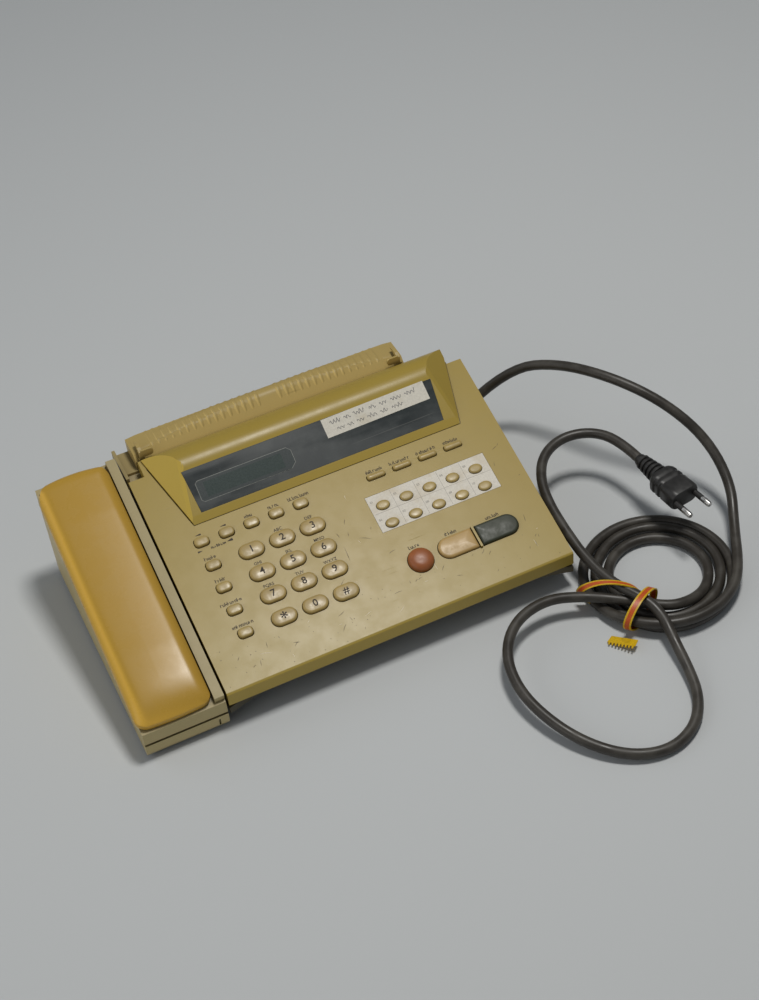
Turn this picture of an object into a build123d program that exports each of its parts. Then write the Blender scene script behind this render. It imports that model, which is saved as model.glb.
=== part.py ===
from build123d import *
import math
import os

# Desktop fax machine with a corded handset at its left, in millimetres.
# X runs to the right, Y to the back and Z up. The origin is the centre of the footprint,
# on the surface that the machine stands on. Pieces of the sloping front are drawn in the
# panel frame: x from the panel's left edge, s up the slope, h out of the panel's surface.

# ---- driving dimensions -------------------------------------------------------------
BODY_WIDTH = 283.0
CRADLE_WIDTH = 66.2
CRADLE_GAP = 1.8
DEPTH = 224.0
TILT = 17.0
FRONT_EDGE_Z = 36.0
FOOT_HEIGHT = 4.0
WALL = 2.5

TOTAL_WIDTH = BODY_WIDTH + CRADLE_GAP + CRADLE_WIDTH
RIGHT = TOTAL_WIDTH / 2
PANEL_LEFT = RIGHT - BODY_WIDTH
LEFT = -TOTAL_WIDTH / 2
CRADLE_RIGHT = PANEL_LEFT - CRADLE_GAP
FRONT = -DEPTH / 2
BACK = DEPTH / 2

# control panel cover
LIP_BOTTOM_Z = 24.0
SKIRT_H = -13.0
PANEL_END_S = 191.0
NOSE_S, NOSE_H, NOSE_RADIUS = 186.0, -6.0, 20.0
NOSE_BACK_Y = 86.0
NOSE_LEFT_X, NOSE_RIGHT_X = 13.0, 270.8
HINGE_Y, HINGE_Z, HINGE_PIN_RADIUS = -108.0, 28.5, 1.8
RUNNING_CLEARANCE = 0.05
BOSS_REACH, EAR_REACH, EAR_RADIUS = 5.5, (6.2, 9.0), 3.0

# display housing on the cover
HOUSING_FRONT_S = 137.0
HOUSING_FRONT_LEFT, HOUSING_FRONT_RIGHT = 31.6, 255.5
HOUSING_BACK_LEFT, HOUSING_BACK_RIGHT = 17.5, 270.8
HOUSING_STEP, HOUSING_SIDE_END_S, HOUSING_SIDE_RUN = 1.6, 196.0, 20.5
HOUSING_RIDGE_DROP = 0.5
GROOVE_WIDTH, GROOVE_DEPTH = 0.8, 0.7
WINDOW_FRONT_S, WINDOW_FRONT_H = 143.0, 2.2
WINDOW_BACK_S, WINDOW_BACK_H = 178.0, 12.2
WINDOW_THICKNESS = 1.5
WINDOW_T, WINDOW_LOW_X, WINDOW_HIGH_X = (0.8, 35.2), (40.4, 244.4), (37.9, 248.2)
LCD_X, LCD_T, LCD_WIDTH, LCD_LENGTH = 83.5, 6.0, 82.0, 20.0

# keys
KEY_GAP = 0.4
KEY_RISE, STOP_RISE, OVAL_RISE = 2.6, 5.6, 1.8
FLANGE_THICKNESS = 1.2
FLANGE_REACH = 1.2
DIGIT_X, DIGIT_PITCH_X = 62.4, 25.0
DIGIT_S, DIGIT_PITCH_S = 100.0, 20.05
DIGIT_KEY = (20.0, 12.6)
SMALL_KEY = (11.6, 8.0)
SLIM_KEY = (15.0, 4.6)
OVAL_KEY = (10.6, 7.8)
UPPER_ROW_X, UPPER_ROW_PITCH, UPPER_ROW_S = 31.0, 20.3, 121.5
SIDE_COLUMN_X = 31.5
SLIM_ROW_X, SLIM_ROW_PITCH, SLIM_ROW_S = 175.0, 22.0, 120.5
OVAL_X, OVAL_PITCH_X, OVAL_S, OVAL_PITCH_S = 169.0, 19.75, 95.2, 16.5
LABEL_X, LABEL_S = (158.4, 259.6), (73.4, 106.2)
LABEL_THICKNESS = 0.5
STOP_X, STOP_S, STOP_RADIUS = 174.6, 41.0, 10.0
BAR_S, BAR_HALF = 41.6, 8.7
COPY_X, START_X = (190.0, 220.2), (223.4, 256.6)
BOARD_TOP_H = -6.2
BOARD_THICKNESS = 1.6

# base housing
DECK_H = -14.4
FRONT_BOW = 20.0
PAPER_BAY_X = (-92.5, 129.5)
PAPER_BAY_FRONT_Y = 34.0
ROLL_Y, ROLL_Z, ROLL_RADIUS, ROLL_WIDTH = 80.0, 34.0, 24.0, 210.0
PATH_X = 19.5
FEED_Y, FEED_Z, FEED_RADIUS = 16.2, 54.3, 7.0
PLATEN_Y, PLATEN_Z, PLATEN_RADIUS = 44.0, 56.0, 9.0
ROLLER_LENGTH = 215.0
GEAR_MODULE = 0.8
FEED_TEETH, PLATEN_TEETH, PINION_TEETH = 30, 36, 12
SENSOR_S, SENSOR_HALF = 106.0, 108.5
REAR_CORNER_FRONT, REAR_CORNER_BACK = (74.0, 77.0), (114.0, 46.0)
SCREW_PLACES = [(-90.0, -70.0), (158.0, -70.0), (-99.0, 96.0), (158.0, 96.0)]
FEET_PLACES = [
    (-92.0, -78.0), (160.0, -78.0), (-92.0, 98.0), (160.0, 98.0), (-160.0, -88.0), (-160.0, 88.0),
]
SPEAKER_X, SPEAKER_Y, SPEAKER_RADIUS = 138.0, -56.0, 19.0

# document support with its width guides
SUPPORT_X = (12.5, 241.5)
SUPPORT_FRONT_Y = 88.6
SUPPORT_FRONT_Z = 92.0
SUPPORT_END_Z = 96.8
SUPPORT_CROWN_Z = 103.8
SUPPORT_BOTTOM_Z = 84.4
GUIDE_X = 109.5
GUIDE_TRAVEL = 34.0
GUIDE_Y = 87.3
GUIDE_TOP_Z = 104.0
GUIDE_TAB_WIDTH, GUIDE_TAB_LOW_Z, GUIDE_TAB_CORNER = 10.0, 96.6, 2.8
RACK_OVERRUN = 8.0
GUIDE_MODULE = 0.8
GUIDE_PINION_TEETH = 14
RACK_Z = 88.2

# handset
HANDSET_WIDTH = 58.0
HANDSET_S = (0.5, 216.0)
HANDSET_SEAT_H = -7.0
HANDSET_TOP_H = 5.0
HANDSET_BACK_WALL = 2.0
HANDSET_X = LEFT + HANDSET_WIDTH / 2 - PANEL_LEFT
FACE_WIDTH = 50.0
CUP_LENGTH, CUP_DEPTH, GRIP_DEPTH = 56.0, 16.0, 7.0
CRADLE_TOP_H = -7.3
CRADLE_LEFT = LEFT + 1.9
CRADLE_END_S = 217.0

# power cord
CORD_DIAMETER = 8.2
RELIEF_LENGTH = 20.0
CORD_EXIT = (RIGHT, 76.0, 30.0)
COIL_CENTRE = (236.0, -136.0)
COIL_OUTER, COIL_INNER, COIL_HEIGHT = 62.0, 26.0, 26.0


def panel_frame():
    """Frame of the sloping panel: x to the right, s up the slope, h outwards."""
    angle = math.radians(TILT)
    plane = Plane(
        origin=(PANEL_LEFT, FRONT, FRONT_EDGE_Z),
        x_dir=(1, 0, 0),
        z_dir=(0, -math.sin(angle), math.cos(angle)),
    )
    return plane.location


PANEL = panel_frame()


def to_panel(y, z):
    """World (y, z) as panel (s, h)."""
    angle = math.radians(TILT)
    dy = y - FRONT
    dz = z - FRONT_EDGE_Z
    s = dy * math.cos(angle) + dz * math.sin(angle)
    h = dz * math.cos(angle) - dy * math.sin(angle)
    return (s, h)


def to_world(s, h):
    """Panel (s, h) as world (y, z)."""
    angle = math.radians(TILT)
    y = FRONT + s * math.cos(angle) - h * math.sin(angle)
    z = FRONT_EDGE_Z + s * math.sin(angle) + h * math.cos(angle)
    return (y, z)


def prism_x(points, x0, x1):
    """Closed outline of (y, z) points, extruded along X from x0 to x1."""
    outline = Polyline(*[(x0, y, z) for y, z in points], close=True)
    return extrude(make_face(outline), x1 - x0, dir=(1, 0, 0))


def block(x0, x1, y0, y1, z0, z1):
    """Box between two corners."""
    size = Box(x1 - x0, y1 - y0, z1 - z0)
    return Pos((x0 + x1) / 2, (y0 + y1) / 2, (z0 + z1) / 2) * size


def rod_x(radius, x0, x1, y, z):
    """Cylinder along X."""
    return Pos((x0 + x1) / 2, y, z) * Rot(0, 90, 0) * Cylinder(radius, x1 - x0)


def rod_z(radius, x, y, z0, z1):
    """Cylinder along Z."""
    return Pos(x, y, (z0 + z1) / 2) * Cylinder(radius, z1 - z0)


def gear(teeth, module, thickness, bore=0.0):
    """Spur gear about Z with straight-sided teeth, its pitch circle at module x teeth / 2."""
    pitch = module * teeth / 2
    tip = pitch + module * 0.9
    root = pitch - module * 1.15
    step = 2 * math.pi / teeth
    points = []
    for tooth in range(teeth):
        centre = tooth * step
        for radius, part in ((root, -0.31), (tip, -0.10), (tip, 0.10), (root, 0.31)):
            angle = centre + part * step
            points.append((radius * math.cos(angle), radius * math.sin(angle)))
    wheel = extrude(make_face(Polyline(*points, close=True)), thickness / 2, both=True)
    if bore > 0:
        wheel -= Cylinder(bore, thickness * 2)
    return wheel


def group(pieces):
    """One node made of separate solids."""
    return Compound(children=list(pieces))


# ---- keys ---------------------------------------------------------------------------
def stadium(width, height, grow=0.0):
    return SlotOverall(width + 2 * grow, height + 2 * grow)


def rounded(width, height, grow=0.0):
    radius = min(width, height) * 0.38 + grow
    return RectangleRounded(width + 2 * grow, height + 2 * grow, radius)


def oval(width, height, grow=0.0):
    return Ellipse(width / 2 + grow, height / 2 + grow)


def half_capsule(x_range, round_side, grow=0.0):
    """Outline of one end key of the long bar, with a round end at round_side."""
    x0 = x_range[0] - grow
    x1 = x_range[1] + grow
    half = BAR_HALF + grow
    if round_side == "left":
        arc = ThreePointArc((x0 + half, half), (x0, 0), (x0 + half, -half))
        rest = Polyline((x0 + half, -half), (x1, -half), (x1, half), (x0 + half, half))
    else:
        arc = ThreePointArc((x1 - half, -half), (x1, 0), (x1 - half, half))
        rest = Polyline((x1 - half, half), (x0, half), (x0, -half), (x1 - half, -half))
    return make_face([*arc.edges(), *rest.edges()])


def key_layout():
    """Every key: name, outline function of its growth, and place on the panel."""
    keys = []
    labels = ("1", "2", "3", "4", "5", "6", "7", "8", "9", "star", "0", "hash")
    for index, label in enumerate(labels):
        x = DIGIT_X + DIGIT_PITCH_X * (index % 3)
        s = DIGIT_S - DIGIT_PITCH_S * (index // 3)
        keys.append((f"key_{label}", lambda grow: stadium(*DIGIT_KEY, grow), x, s))
    for index, label in enumerate(("volume_down", "volume_up", "set", "mode", "resolution")):
        x = UPPER_ROW_X + UPPER_ROW_PITCH * index
        keys.append((f"key_{label}", lambda grow: rounded(*SMALL_KEY, grow), x, UPPER_ROW_S))
    for index, label in enumerate(("hook", "hold", "redial", "speed_dial")):
        s = DIGIT_S - DIGIT_PITCH_S * index
        keys.append((f"key_{label}", lambda grow: rounded(*SMALL_KEY, grow), SIDE_COLUMN_X, s))
    for index, label in enumerate(("function", "verify", "index", "help")):
        x = SLIM_ROW_X + SLIM_ROW_PITCH * index
        keys.append((f"key_{label}", lambda grow: rounded(*SLIM_KEY, grow), x, SLIM_ROW_S))
    keys.append(("stop_key", lambda grow: Circle(STOP_RADIUS + grow), STOP_X, STOP_S))
    keys.append(("copy_key", lambda grow: half_capsule(COPY_X, "left", grow), 0.0, BAR_S))
    keys.append(("start_key", lambda grow: half_capsule(START_X, "right", grow), 0.0, BAR_S))
    return keys


def oval_places():
    """Centres of the one-touch keys on the panel."""
    places = []
    for row in range(2):
        for column in range(5):
            places.append((OVAL_X + OVAL_PITCH_X * column, OVAL_S - OVAL_PITCH_S * row))
    return places


def key_solid(outline, rise, softening):
    """Cap through the cover's skin, with a flange below it that keeps the key in."""
    flange_top = -WALL - 0.1
    cap = Pos(0, 0, flange_top) * extrude(outline(0.0), rise - flange_top)
    top_edges = cap.edges().filter_by(lambda edge: edge.center().Z > rise - 0.01)
    cap = fillet(top_edges, softening)
    flange = Pos(0, 0, flange_top - FLANGE_THICKNESS) * extrude(outline(FLANGE_REACH), FLANGE_THICKNESS)
    return cap + flange


def build_keys():
    nodes = {}
    for name, outline, x, s in key_layout():
        rise, softening = (STOP_RISE, 3.4) if name == "stop_key" else (KEY_RISE, 0.9)
        nodes[name] = PANEL * Pos(x, s, 0) * key_solid(outline, rise, softening)
    comb = None
    flange_base = -WALL - 0.1 - FLANGE_THICKNESS
    for x, s in oval_places():
        piece = Pos(x, s, 0) * key_solid(lambda grow: oval(*OVAL_KEY, grow), OVAL_RISE, 0.7)
        comb = piece if comb is None else comb + piece
    first_x, last_x = OVAL_X, OVAL_X + 4 * OVAL_PITCH_X
    low_s = OVAL_S - OVAL_PITCH_S
    for s in (low_s, OVAL_S):
        comb += block(first_x, last_x, s - 1.2, s + 1.2, flange_base, flange_base + 1.0)
    for x in (first_x + 10.0, last_x - 10.0):
        comb += block(x - 1.0, x + 1.0, low_s, OVAL_S, flange_base, flange_base + 1.0)
    nodes["one_touch_keys"] = PANEL * comb
    return nodes


# ---- control panel cover ------------------------------------------------------------
def window_frame():
    """Frame on the display housing's sloping face: x, then t up that face, then outwards."""
    angle = math.atan2(WINDOW_BACK_H - WINDOW_FRONT_H, WINDOW_BACK_S - WINDOW_FRONT_S)
    plane = Plane(
        origin=(0, WINDOW_FRONT_S, WINDOW_FRONT_H),
        x_dir=(1, 0, 0),
        z_dir=(0, -math.sin(angle), math.cos(angle)),
    )
    return PANEL * plane.location


WINDOW = window_frame()


def housing_solid(inset):
    """Display housing and its round back, in the panel frame, shrunk by inset all round."""
    radius = NOSE_RADIUS - inset
    back_s, bottom_h = PANEL_END_S + 20, SKIRT_H - (5 if inset else 0)
    wedge = prism_x(
        [
            (HOUSING_FRONT_S + inset, bottom_h),
            (HOUSING_FRONT_S + inset, -inset),
            (WINDOW_FRONT_S + inset * 0.3, WINDOW_FRONT_H - inset * 1.05),
            (WINDOW_BACK_S, WINDOW_BACK_H - inset * 1.05),
            (NOSE_S, NOSE_H + radius * 0.9),
            (NOSE_S, bottom_h),
        ],
        NOSE_LEFT_X + inset,
        NOSE_RIGHT_X - inset,
    )
    nose = rod_x(radius, NOSE_LEFT_X + inset, NOSE_RIGHT_X - inset, NOSE_S, NOSE_H)
    below = block(NOSE_LEFT_X - 1, NOSE_RIGHT_X + 1, NOSE_S - 30, back_s, SKIRT_H - 30, bottom_h)
    solid = wedge + (nose - below)
    face_normal = Vector(0, WINDOW_FRONT_H - WINDOW_BACK_H, WINDOW_BACK_S - WINDOW_FRONT_S).normalized()
    upper = block(0, BODY_WIDTH, 100, 230, -inset, 40)
    for sign, front_x, back_x in (
        (1, HOUSING_FRONT_LEFT, HOUSING_BACK_LEFT),
        (-1, HOUSING_FRONT_RIGHT, HOUSING_BACK_RIGHT),
    ):
        low_front = Vector(front_x + sign * inset, HOUSING_FRONT_S, HOUSING_STEP)
        low_back = Vector(back_x + sign * inset, HOUSING_SIDE_END_S, HOUSING_STEP)
        high_back = Vector(back_x + sign * (HOUSING_SIDE_RUN + inset), WINDOW_BACK_S, WINDOW_BACK_H)
        along = low_back - low_front
        outward = along.cross(high_back - low_front)
        if outward.X * sign > 0:
            outward = -outward
        outward = outward.normalized()
        ridge = (outward + face_normal).normalized()
        ridge_x = outward.cross(face_normal)
        for plane in (
            Plane(origin=low_front, x_dir=along, z_dir=outward),
            Plane(origin=low_front, x_dir=along, z_dir=Vector(-sign * along.Y, sign * along.X, 0)),
            Plane(origin=high_back - ridge * HOUSING_RIDGE_DROP, x_dir=ridge_x, z_dir=ridge),
        ):
            solid -= plane.location * Pos(0, 0, 50) * Box(400, 400, 100) & upper
    return solid


def housing_groove():
    """Narrow groove in the panel along the display housing's front and sides."""
    corners = [
        (HOUSING_BACK_LEFT, HOUSING_SIDE_END_S),
        (HOUSING_FRONT_LEFT, HOUSING_FRONT_S),
        (HOUSING_FRONT_RIGHT, HOUSING_FRONT_S),
        (HOUSING_BACK_RIGHT, HOUSING_SIDE_END_S),
    ]
    footprint = make_face(Polyline(*corners, close=True))
    band = offset(footprint, GROOVE_WIDTH) - footprint
    return Pos(0, 0, -GROOVE_DEPTH) * extrude(band, GROOVE_DEPTH + 0.5)


def slab_solid(inset):
    """Full-width slab of the panel with its front lip and skirt, shrunk by inset all round."""
    lip = to_panel(FRONT + inset, LIP_BOTTOM_Z - (8 if inset else 0))
    top_front = to_panel(FRONT + inset, FRONT_EDGE_Z)
    bottom_h = SKIRT_H - (8 if inset else 0)
    end_s = PANEL_END_S - inset
    outline = [lip, (top_front[0], -inset), (end_s, -inset), (end_s, bottom_h), (6.0, bottom_h)]
    return prism_x(outline, inset, BODY_WIDTH - inset)


def build_cover():
    """Sloping top cover: skin, skirt, lip, display housing, key holes and hinge bosses."""
    outer = slab_solid(0.0)
    along_x = outer.edges().filter_by(Axis.X)
    front_edge = along_x.sort_by(lambda edge: math.hypot(edge.center().Y, edge.center().Z))[0]
    outer = fillet(front_edge, 2.0)
    outer += housing_solid(0.0)
    outer -= housing_groove()
    inner = slab_solid(WALL) + housing_solid(WALL)
    cover = outer - inner
    cover -= PANEL.inverse() * block(LEFT, RIGHT, NOSE_BACK_Y, NOSE_BACK_Y + 60, 0, 200)
    for name, outline, x, s in key_layout():
        cover -= Pos(x, s, -WALL - 1) * extrude(outline(KEY_GAP), WALL + 3)
    for x, s in oval_places():
        cover -= Pos(x, s, -WALL - 1) * extrude(oval(*OVAL_KEY, KEY_GAP), WALL + 3)
    cover -= block(*LABEL_X, *LABEL_S, -LABEL_THICKNESS - 0.1, 1.0)
    divider_x = (COPY_X[1] + START_X[0]) / 2
    reach = BAR_HALF + 0.6
    cover += block(divider_x - 0.9, divider_x + 0.9, BAR_S - reach, BAR_S + reach, -WALL, KEY_RISE - 0.3)
    for x in (17.0, 136.0, 150.0, 264.0):
        for s in (20.0, 62.0):
            cover += rod_z(2.2, x, s, BOARD_TOP_H, -WALL + 0.2)
    cover = PANEL * cover
    cover -= WINDOW * window_outline(0.15, -WINDOW_THICKNESS - 0.1, 1.0)
    half_view = LCD_WIDTH / 2 - 2.0
    low_t, high_t = LCD_T + 1.5, LCD_T + LCD_LENGTH - 1.5
    cover -= WINDOW * block(LCD_X - half_view, LCD_X + half_view, low_t, high_t, -6.0, 1.0)
    for sign, edge in ((1, PANEL_LEFT), (-1, RIGHT)):
        boss = sorted((edge + sign * (WALL - 0.2), edge + sign * BOSS_REACH))
        bore = sorted((edge + sign * WALL, edge + sign * (BOSS_REACH + 1)))
        pocket = sorted((edge + sign * (EAR_REACH[0] - 0.5), edge + sign * (EAR_REACH[1] + 0.5)))
        cover += rod_x(3.6, *boss, HINGE_Y, HINGE_Z)
        cover -= rod_x(HINGE_PIN_RADIUS + RUNNING_CLEARANCE, *bore, HINGE_Y, HINGE_Z)
        cover -= rod_x(EAR_RADIUS + 0.3, *pocket, HINGE_Y, HINGE_Z)
    return cover


def window_outline(grow, low, high):
    """Trapezoid plate of the display window, in the window frame."""
    low_t, high_t = WINDOW_T[0] - grow, WINDOW_T[1] + grow
    points = [
        (WINDOW_LOW_X[0] - grow, low_t),
        (WINDOW_LOW_X[1] + grow, low_t),
        (WINDOW_HIGH_X[1] + grow, high_t),
        (WINDOW_HIGH_X[0] - grow, high_t),
    ]
    face = make_face(Polyline(*points, close=True))
    return Pos(0, 0, low) * extrude(face, high - low)


def build_window():
    return WINDOW * window_outline(0.0, -WINDOW_THICKNESS, 0.0)


def build_lcd():
    """Display module: glass on a thin frame, close below the window."""
    depth = -WINDOW_THICKNESS - 0.4
    half = LCD_WIDTH / 2
    low_t, high_t = LCD_T + 2.5, LCD_T + LCD_LENGTH - 2.5
    glass = block(LCD_X - half + 3, LCD_X + half - 3, low_t, high_t, depth - 1.6, depth)
    tray = block(LCD_X - half, LCD_X + half, LCD_T, LCD_T + LCD_LENGTH, depth - 3.6, depth - 1.6)
    return WINDOW * (glass + tray)


def build_label():
    """Index card of the one-touch keys, with a hole for each key."""
    margin = 0.2
    x0, x1 = LABEL_X[0] + margin, LABEL_X[1] - margin
    s0, s1 = LABEL_S[0] + margin, LABEL_S[1] - margin
    card = block(x0, x1, s0, s1, -LABEL_THICKNESS, 0.0)
    for x, s in oval_places():
        card -= Pos(x, s, -2) * extrude(oval(*OVAL_KEY, KEY_GAP), 4)
    return PANEL * card


def build_panel_board():
    """Circuit board below the keys, with the contact domes that the keys press."""
    low = BOARD_TOP_H - BOARD_THICKNESS
    board = block(13.0, 267.0, 16.0, 108.0, low, BOARD_TOP_H)
    board += block(13.0, 240.0, 107.0, 131.0, low, BOARD_TOP_H)
    for _, _, x, s in key_layout():
        if x > 0:
            board += rod_z(2.6, x, s, BOARD_TOP_H - 0.1, BOARD_TOP_H + 0.5)
    return PANEL * board


# ---- base housing -------------------------------------------------------------------
def base_plan(inset, height):
    """Footprint with its front edge curved back between the corners, as a tall solid."""
    x0, x1 = PANEL_LEFT + inset, RIGHT - inset
    y0, y1 = FRONT + inset, BACK - inset
    front = ThreePointArc((x0, y0), ((x0 + x1) / 2, y0 + FRONT_BOW), (x1, y0))
    rest = Polyline((x1, y0), (x1, y1), (x0, y1), (x0, y0))
    return extrude(make_face([*front.edges(), *rest.edges()]), height)


def deck_profile(inset):
    """Side outline of the base below the cover, its front foot set back in shadow."""
    deck_front = to_world(-6.0, DECK_H - inset)
    deck_back = to_world(204.0, DECK_H - inset)
    return [
        (-92.0 + inset, FOOT_HEIGHT + inset),
        (-103.0 + inset, 15.0 + inset),
        (FRONT - 2, 15.0 + inset),
        (FRONT - 2, deck_front[1]),
        deck_front,
        deck_back,
        (deck_back[0], SUPPORT_BOTTOM_Z - inset),
        (BACK + 2, SUPPORT_BOTTOM_Z - inset),
        (BACK + 2, FOOT_HEIGHT + inset),
    ]


def rear_corner(inset):
    """Space above the sloping right rear corner, beside the document support."""
    front_y, front_z = REAR_CORNER_FRONT
    back_y, back_z = REAR_CORNER_BACK
    outline = [
        (front_y, front_z - inset),
        (front_y, 140.0),
        (back_y, 140.0),
        (back_y, back_z - inset),
    ]
    return prism_x(outline, PAPER_BAY_X[1] + WALL + 3.0 - inset, RIGHT + 1)


def bay_plate(x0, x1):
    """Upright plate inside the base that carries the roller shafts."""
    front_top = to_world(121.0, DECK_H - 1.0)
    back_top = to_world(203.5, DECK_H - 0.2)
    outline = [
        (front_top[0], 5.0),
        front_top,
        back_top,
        (88.5, SUPPORT_BOTTOM_Z - 0.2),
        (BACK - 1, SUPPORT_BOTTOM_Z - 0.2),
        (BACK - 1, 5.0),
    ]
    return prism_x(outline, x0, x1)


def pinion_centre():
    """Motor shaft position, in mesh with the gears of both rollers."""
    to_feed = GEAR_MODULE * (FEED_TEETH + PINION_TEETH) / 2
    to_platen = GEAR_MODULE * (PLATEN_TEETH + PINION_TEETH) / 2
    dy, dz = PLATEN_Y - FEED_Y, PLATEN_Z - FEED_Z
    span = math.hypot(dy, dz)
    along = (to_feed**2 - to_platen**2 + span**2) / (2 * span)
    below = math.sqrt(to_feed**2 - along**2)
    return (FEED_Y + (along * dy + below * dz) / span, FEED_Z + (along * dz - below * dy) / span)


def build_base():
    """Lower housing with the paper deck, the roll bay, roller plates and hinge pins."""
    tall = 140.0
    outer = base_plan(0.0, tall) & prism_x(deck_profile(0.0), PANEL_LEFT, RIGHT)
    inner = base_plan(WALL, tall) & prism_x(deck_profile(WALL), PANEL_LEFT + WALL, RIGHT - WALL)
    base = (outer - rear_corner(0.0)) - (inner - rear_corner(WALL))

    rail = [
        to_world(14.0, DECK_H - 1),
        to_world(14.0, SKIRT_H - 0.4),
        to_world(189.0, SKIRT_H - 0.4),
        to_world(189.0, DECK_H - 1),
    ]
    for x0, x1 in ((PANEL_LEFT, PANEL_LEFT + WALL), (RIGHT - WALL, RIGHT)):
        base += prism_x(rail, x0, x1)
    base += block(PANEL_LEFT, PANEL_LEFT + WALL, 76.5, BACK, 74.0, 90.0)

    base -= block(*PAPER_BAY_X, PAPER_BAY_FRONT_Y, BACK - WALL, FOOT_HEIGHT + WALL + 3, 120.0)
    for x0, x1 in ((PAPER_BAY_X[0] - WALL, PAPER_BAY_X[0]), (PAPER_BAY_X[1], PAPER_BAY_X[1] + WALL)):
        base += bay_plate(x0, x1)
    base += block(PAPER_BAY_X[0] - 1, PAPER_BAY_X[1] + 1, 52.5, 55.0, FOOT_HEIGHT + 1, 48.0)

    base -= block(PAPER_BAY_X[1] + WALL + 0.5, 148.5, -2.0, 64.0, 30.0, 120.0)
    roller_reach = ROLLER_LENGTH / 2 + 1
    base -= block(PATH_X - roller_reach, PATH_X + roller_reach, FEED_Y - 8.2, FEED_Y + 8.2, 50.0, 90.0)
    x_mid, reach = PATH_X - PANEL_LEFT, SENSOR_HALF + 0.8
    low_s, high_s = SENSOR_S - 8.3, SENSOR_S + 8.3
    base -= PANEL * block(x_mid - reach, x_mid + reach, low_s, high_s, DECK_H - 4, DECK_H + 2)

    shaft_holes = ((FEED_Y, FEED_Z, 2.5), (PLATEN_Y, PLATEN_Z, 3.0))
    for y, z, radius in shaft_holes:
        base += rod_x(radius + 3.0, PAPER_BAY_X[0] - WALL, PAPER_BAY_X[0], y, z)
        base += rod_x(radius + 3.0, PAPER_BAY_X[1], PAPER_BAY_X[1] + WALL, y, z)
        hole_x = (PAPER_BAY_X[0] - WALL - 1, PAPER_BAY_X[1] + WALL + 1)
        base -= rod_x(radius + RUNNING_CLEARANCE, *hole_x, y, z)
    motor_y, motor_z = pinion_centre()
    base += block(148.5, 150.5, motor_y - 17.0, motor_y + 17.0, FOOT_HEIGHT + 1, motor_z + 8.0)
    base -= rod_x(5.2, 148.0, 151.0, motor_y, motor_z)

    for sign, edge in ((1, PANEL_LEFT), (-1, RIGHT)):
        ear_x = sorted((edge + sign * EAR_REACH[0], edge + sign * EAR_REACH[1]))
        pin_x = sorted((edge + sign * (WALL + 0.5), edge + sign * EAR_REACH[1]))
        base += rod_x(EAR_RADIUS, *ear_x, HINGE_Y, HINGE_Z)
        arm = [(0.0, 0.0), (5.6, -5.6), (11.0, -4.5), (11.0, 1.0), (0.0, EAR_RADIUS)]
        base += prism_x([(HINGE_Y + dy, HINGE_Z + dz) for dy, dz in arm], *ear_x)
        base += rod_x(HINGE_PIN_RADIUS, *pin_x, HINGE_Y, HINGE_Z)

    for x, y in SCREW_PLACES:
        base += rod_z(4.5, x, y, FOOT_HEIGHT + 1, 22.0)
        base -= rod_z(3.6, x, y, FOOT_HEIGHT - 1, FOOT_HEIGHT + 2.6)
        base -= rod_z(1.55, x, y, FOOT_HEIGHT, 20.0)
    for slot in range(-3, 4):
        slot_y = SPEAKER_Y + slot * 4.0
        base -= block(SPEAKER_X - 12, SPEAKER_X + 12, slot_y - 0.8, slot_y + 0.8, 3.0, 8.0)
        vent_y = slot * 7.0
        base -= block(RIGHT - 4, RIGHT + 1, vent_y - 1.2, vent_y + 1.2, 18.0, 32.0)
    exit_axis = Location(Plane(origin=CORD_EXIT, z_dir=EXIT_DIRECTION))
    base -= exit_axis * Cylinder(6.3, 22.0)
    return base


def build_feet():
    return group(rod_z(7.0, x, y, 0.0, FOOT_HEIGHT) for x, y in FEET_PLACES)


def build_screws():
    """Self-tapping screws driven from below: pan head and plain shank."""
    screws = []
    for x, y in SCREW_PLACES:
        head = rod_z(3.2, x, y, FOOT_HEIGHT + 0.5, FOOT_HEIGHT + 2.6)
        socket = block(x - 0.4, x + 0.4, y - 2.0, y + 2.0, FOOT_HEIGHT, FOOT_HEIGHT + 1.4)
        cross = block(x - 2.0, x + 2.0, y - 0.4, y + 0.4, FOOT_HEIGHT, FOOT_HEIGHT + 1.4)
        screws.append(head + rod_z(1.5, x, y, FOOT_HEIGHT + 2.0, 19.0) - socket - cross)
    return group(screws)


# ---- paper path and drive -----------------------------------------------------------
def build_roller(radius, shaft_radius, y, z, teeth, gear_x):
    """Rubber roller on its shaft, with the drive gear pressed on at the right."""
    shaft = rod_x(shaft_radius, PAPER_BAY_X[0] - WALL - 1.5, 147.0, y, z)
    rubber = rod_x(radius, PATH_X - ROLLER_LENGTH / 2, PATH_X + ROLLER_LENGTH / 2, y, z)
    wheel = Pos(gear_x, y, z) * Rot(0, 90, 0) * Rot(0, 0, GEAR_PHASE[teeth]) * gear(teeth, GEAR_MODULE, 4.0)
    return rubber + shaft + wheel


def mesh_phases():
    """Turn of each gear about its shaft that puts its teeth in the pinion's gaps."""
    motor_y, motor_z = pinion_centre()
    phases = {PINION_TEETH: 0.0}
    for teeth, y, z in ((FEED_TEETH, FEED_Y, FEED_Z), (PLATEN_TEETH, PLATEN_Y, PLATEN_Z)):
        towards = math.degrees(math.atan2(z - motor_z, y - motor_y))
        pinion_step = 360.0 / PINION_TEETH
        offset = ((towards - 90.0) % pinion_step) / pinion_step
        step = 360.0 / teeth
        phases[teeth] = ((towards + 180.0 - 90.0) - (0.5 - offset) * step) % step
    return phases


GEAR_PHASE = mesh_phases()


def build_pinion():
    motor_y, motor_z = pinion_centre()
    wheel = Pos(140.0, motor_y, motor_z) * Rot(0, 90, 0) * gear(PINION_TEETH, GEAR_MODULE, 12.0)
    return wheel + rod_x(2.0, 140.0, 150.6, motor_y, motor_z)


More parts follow.
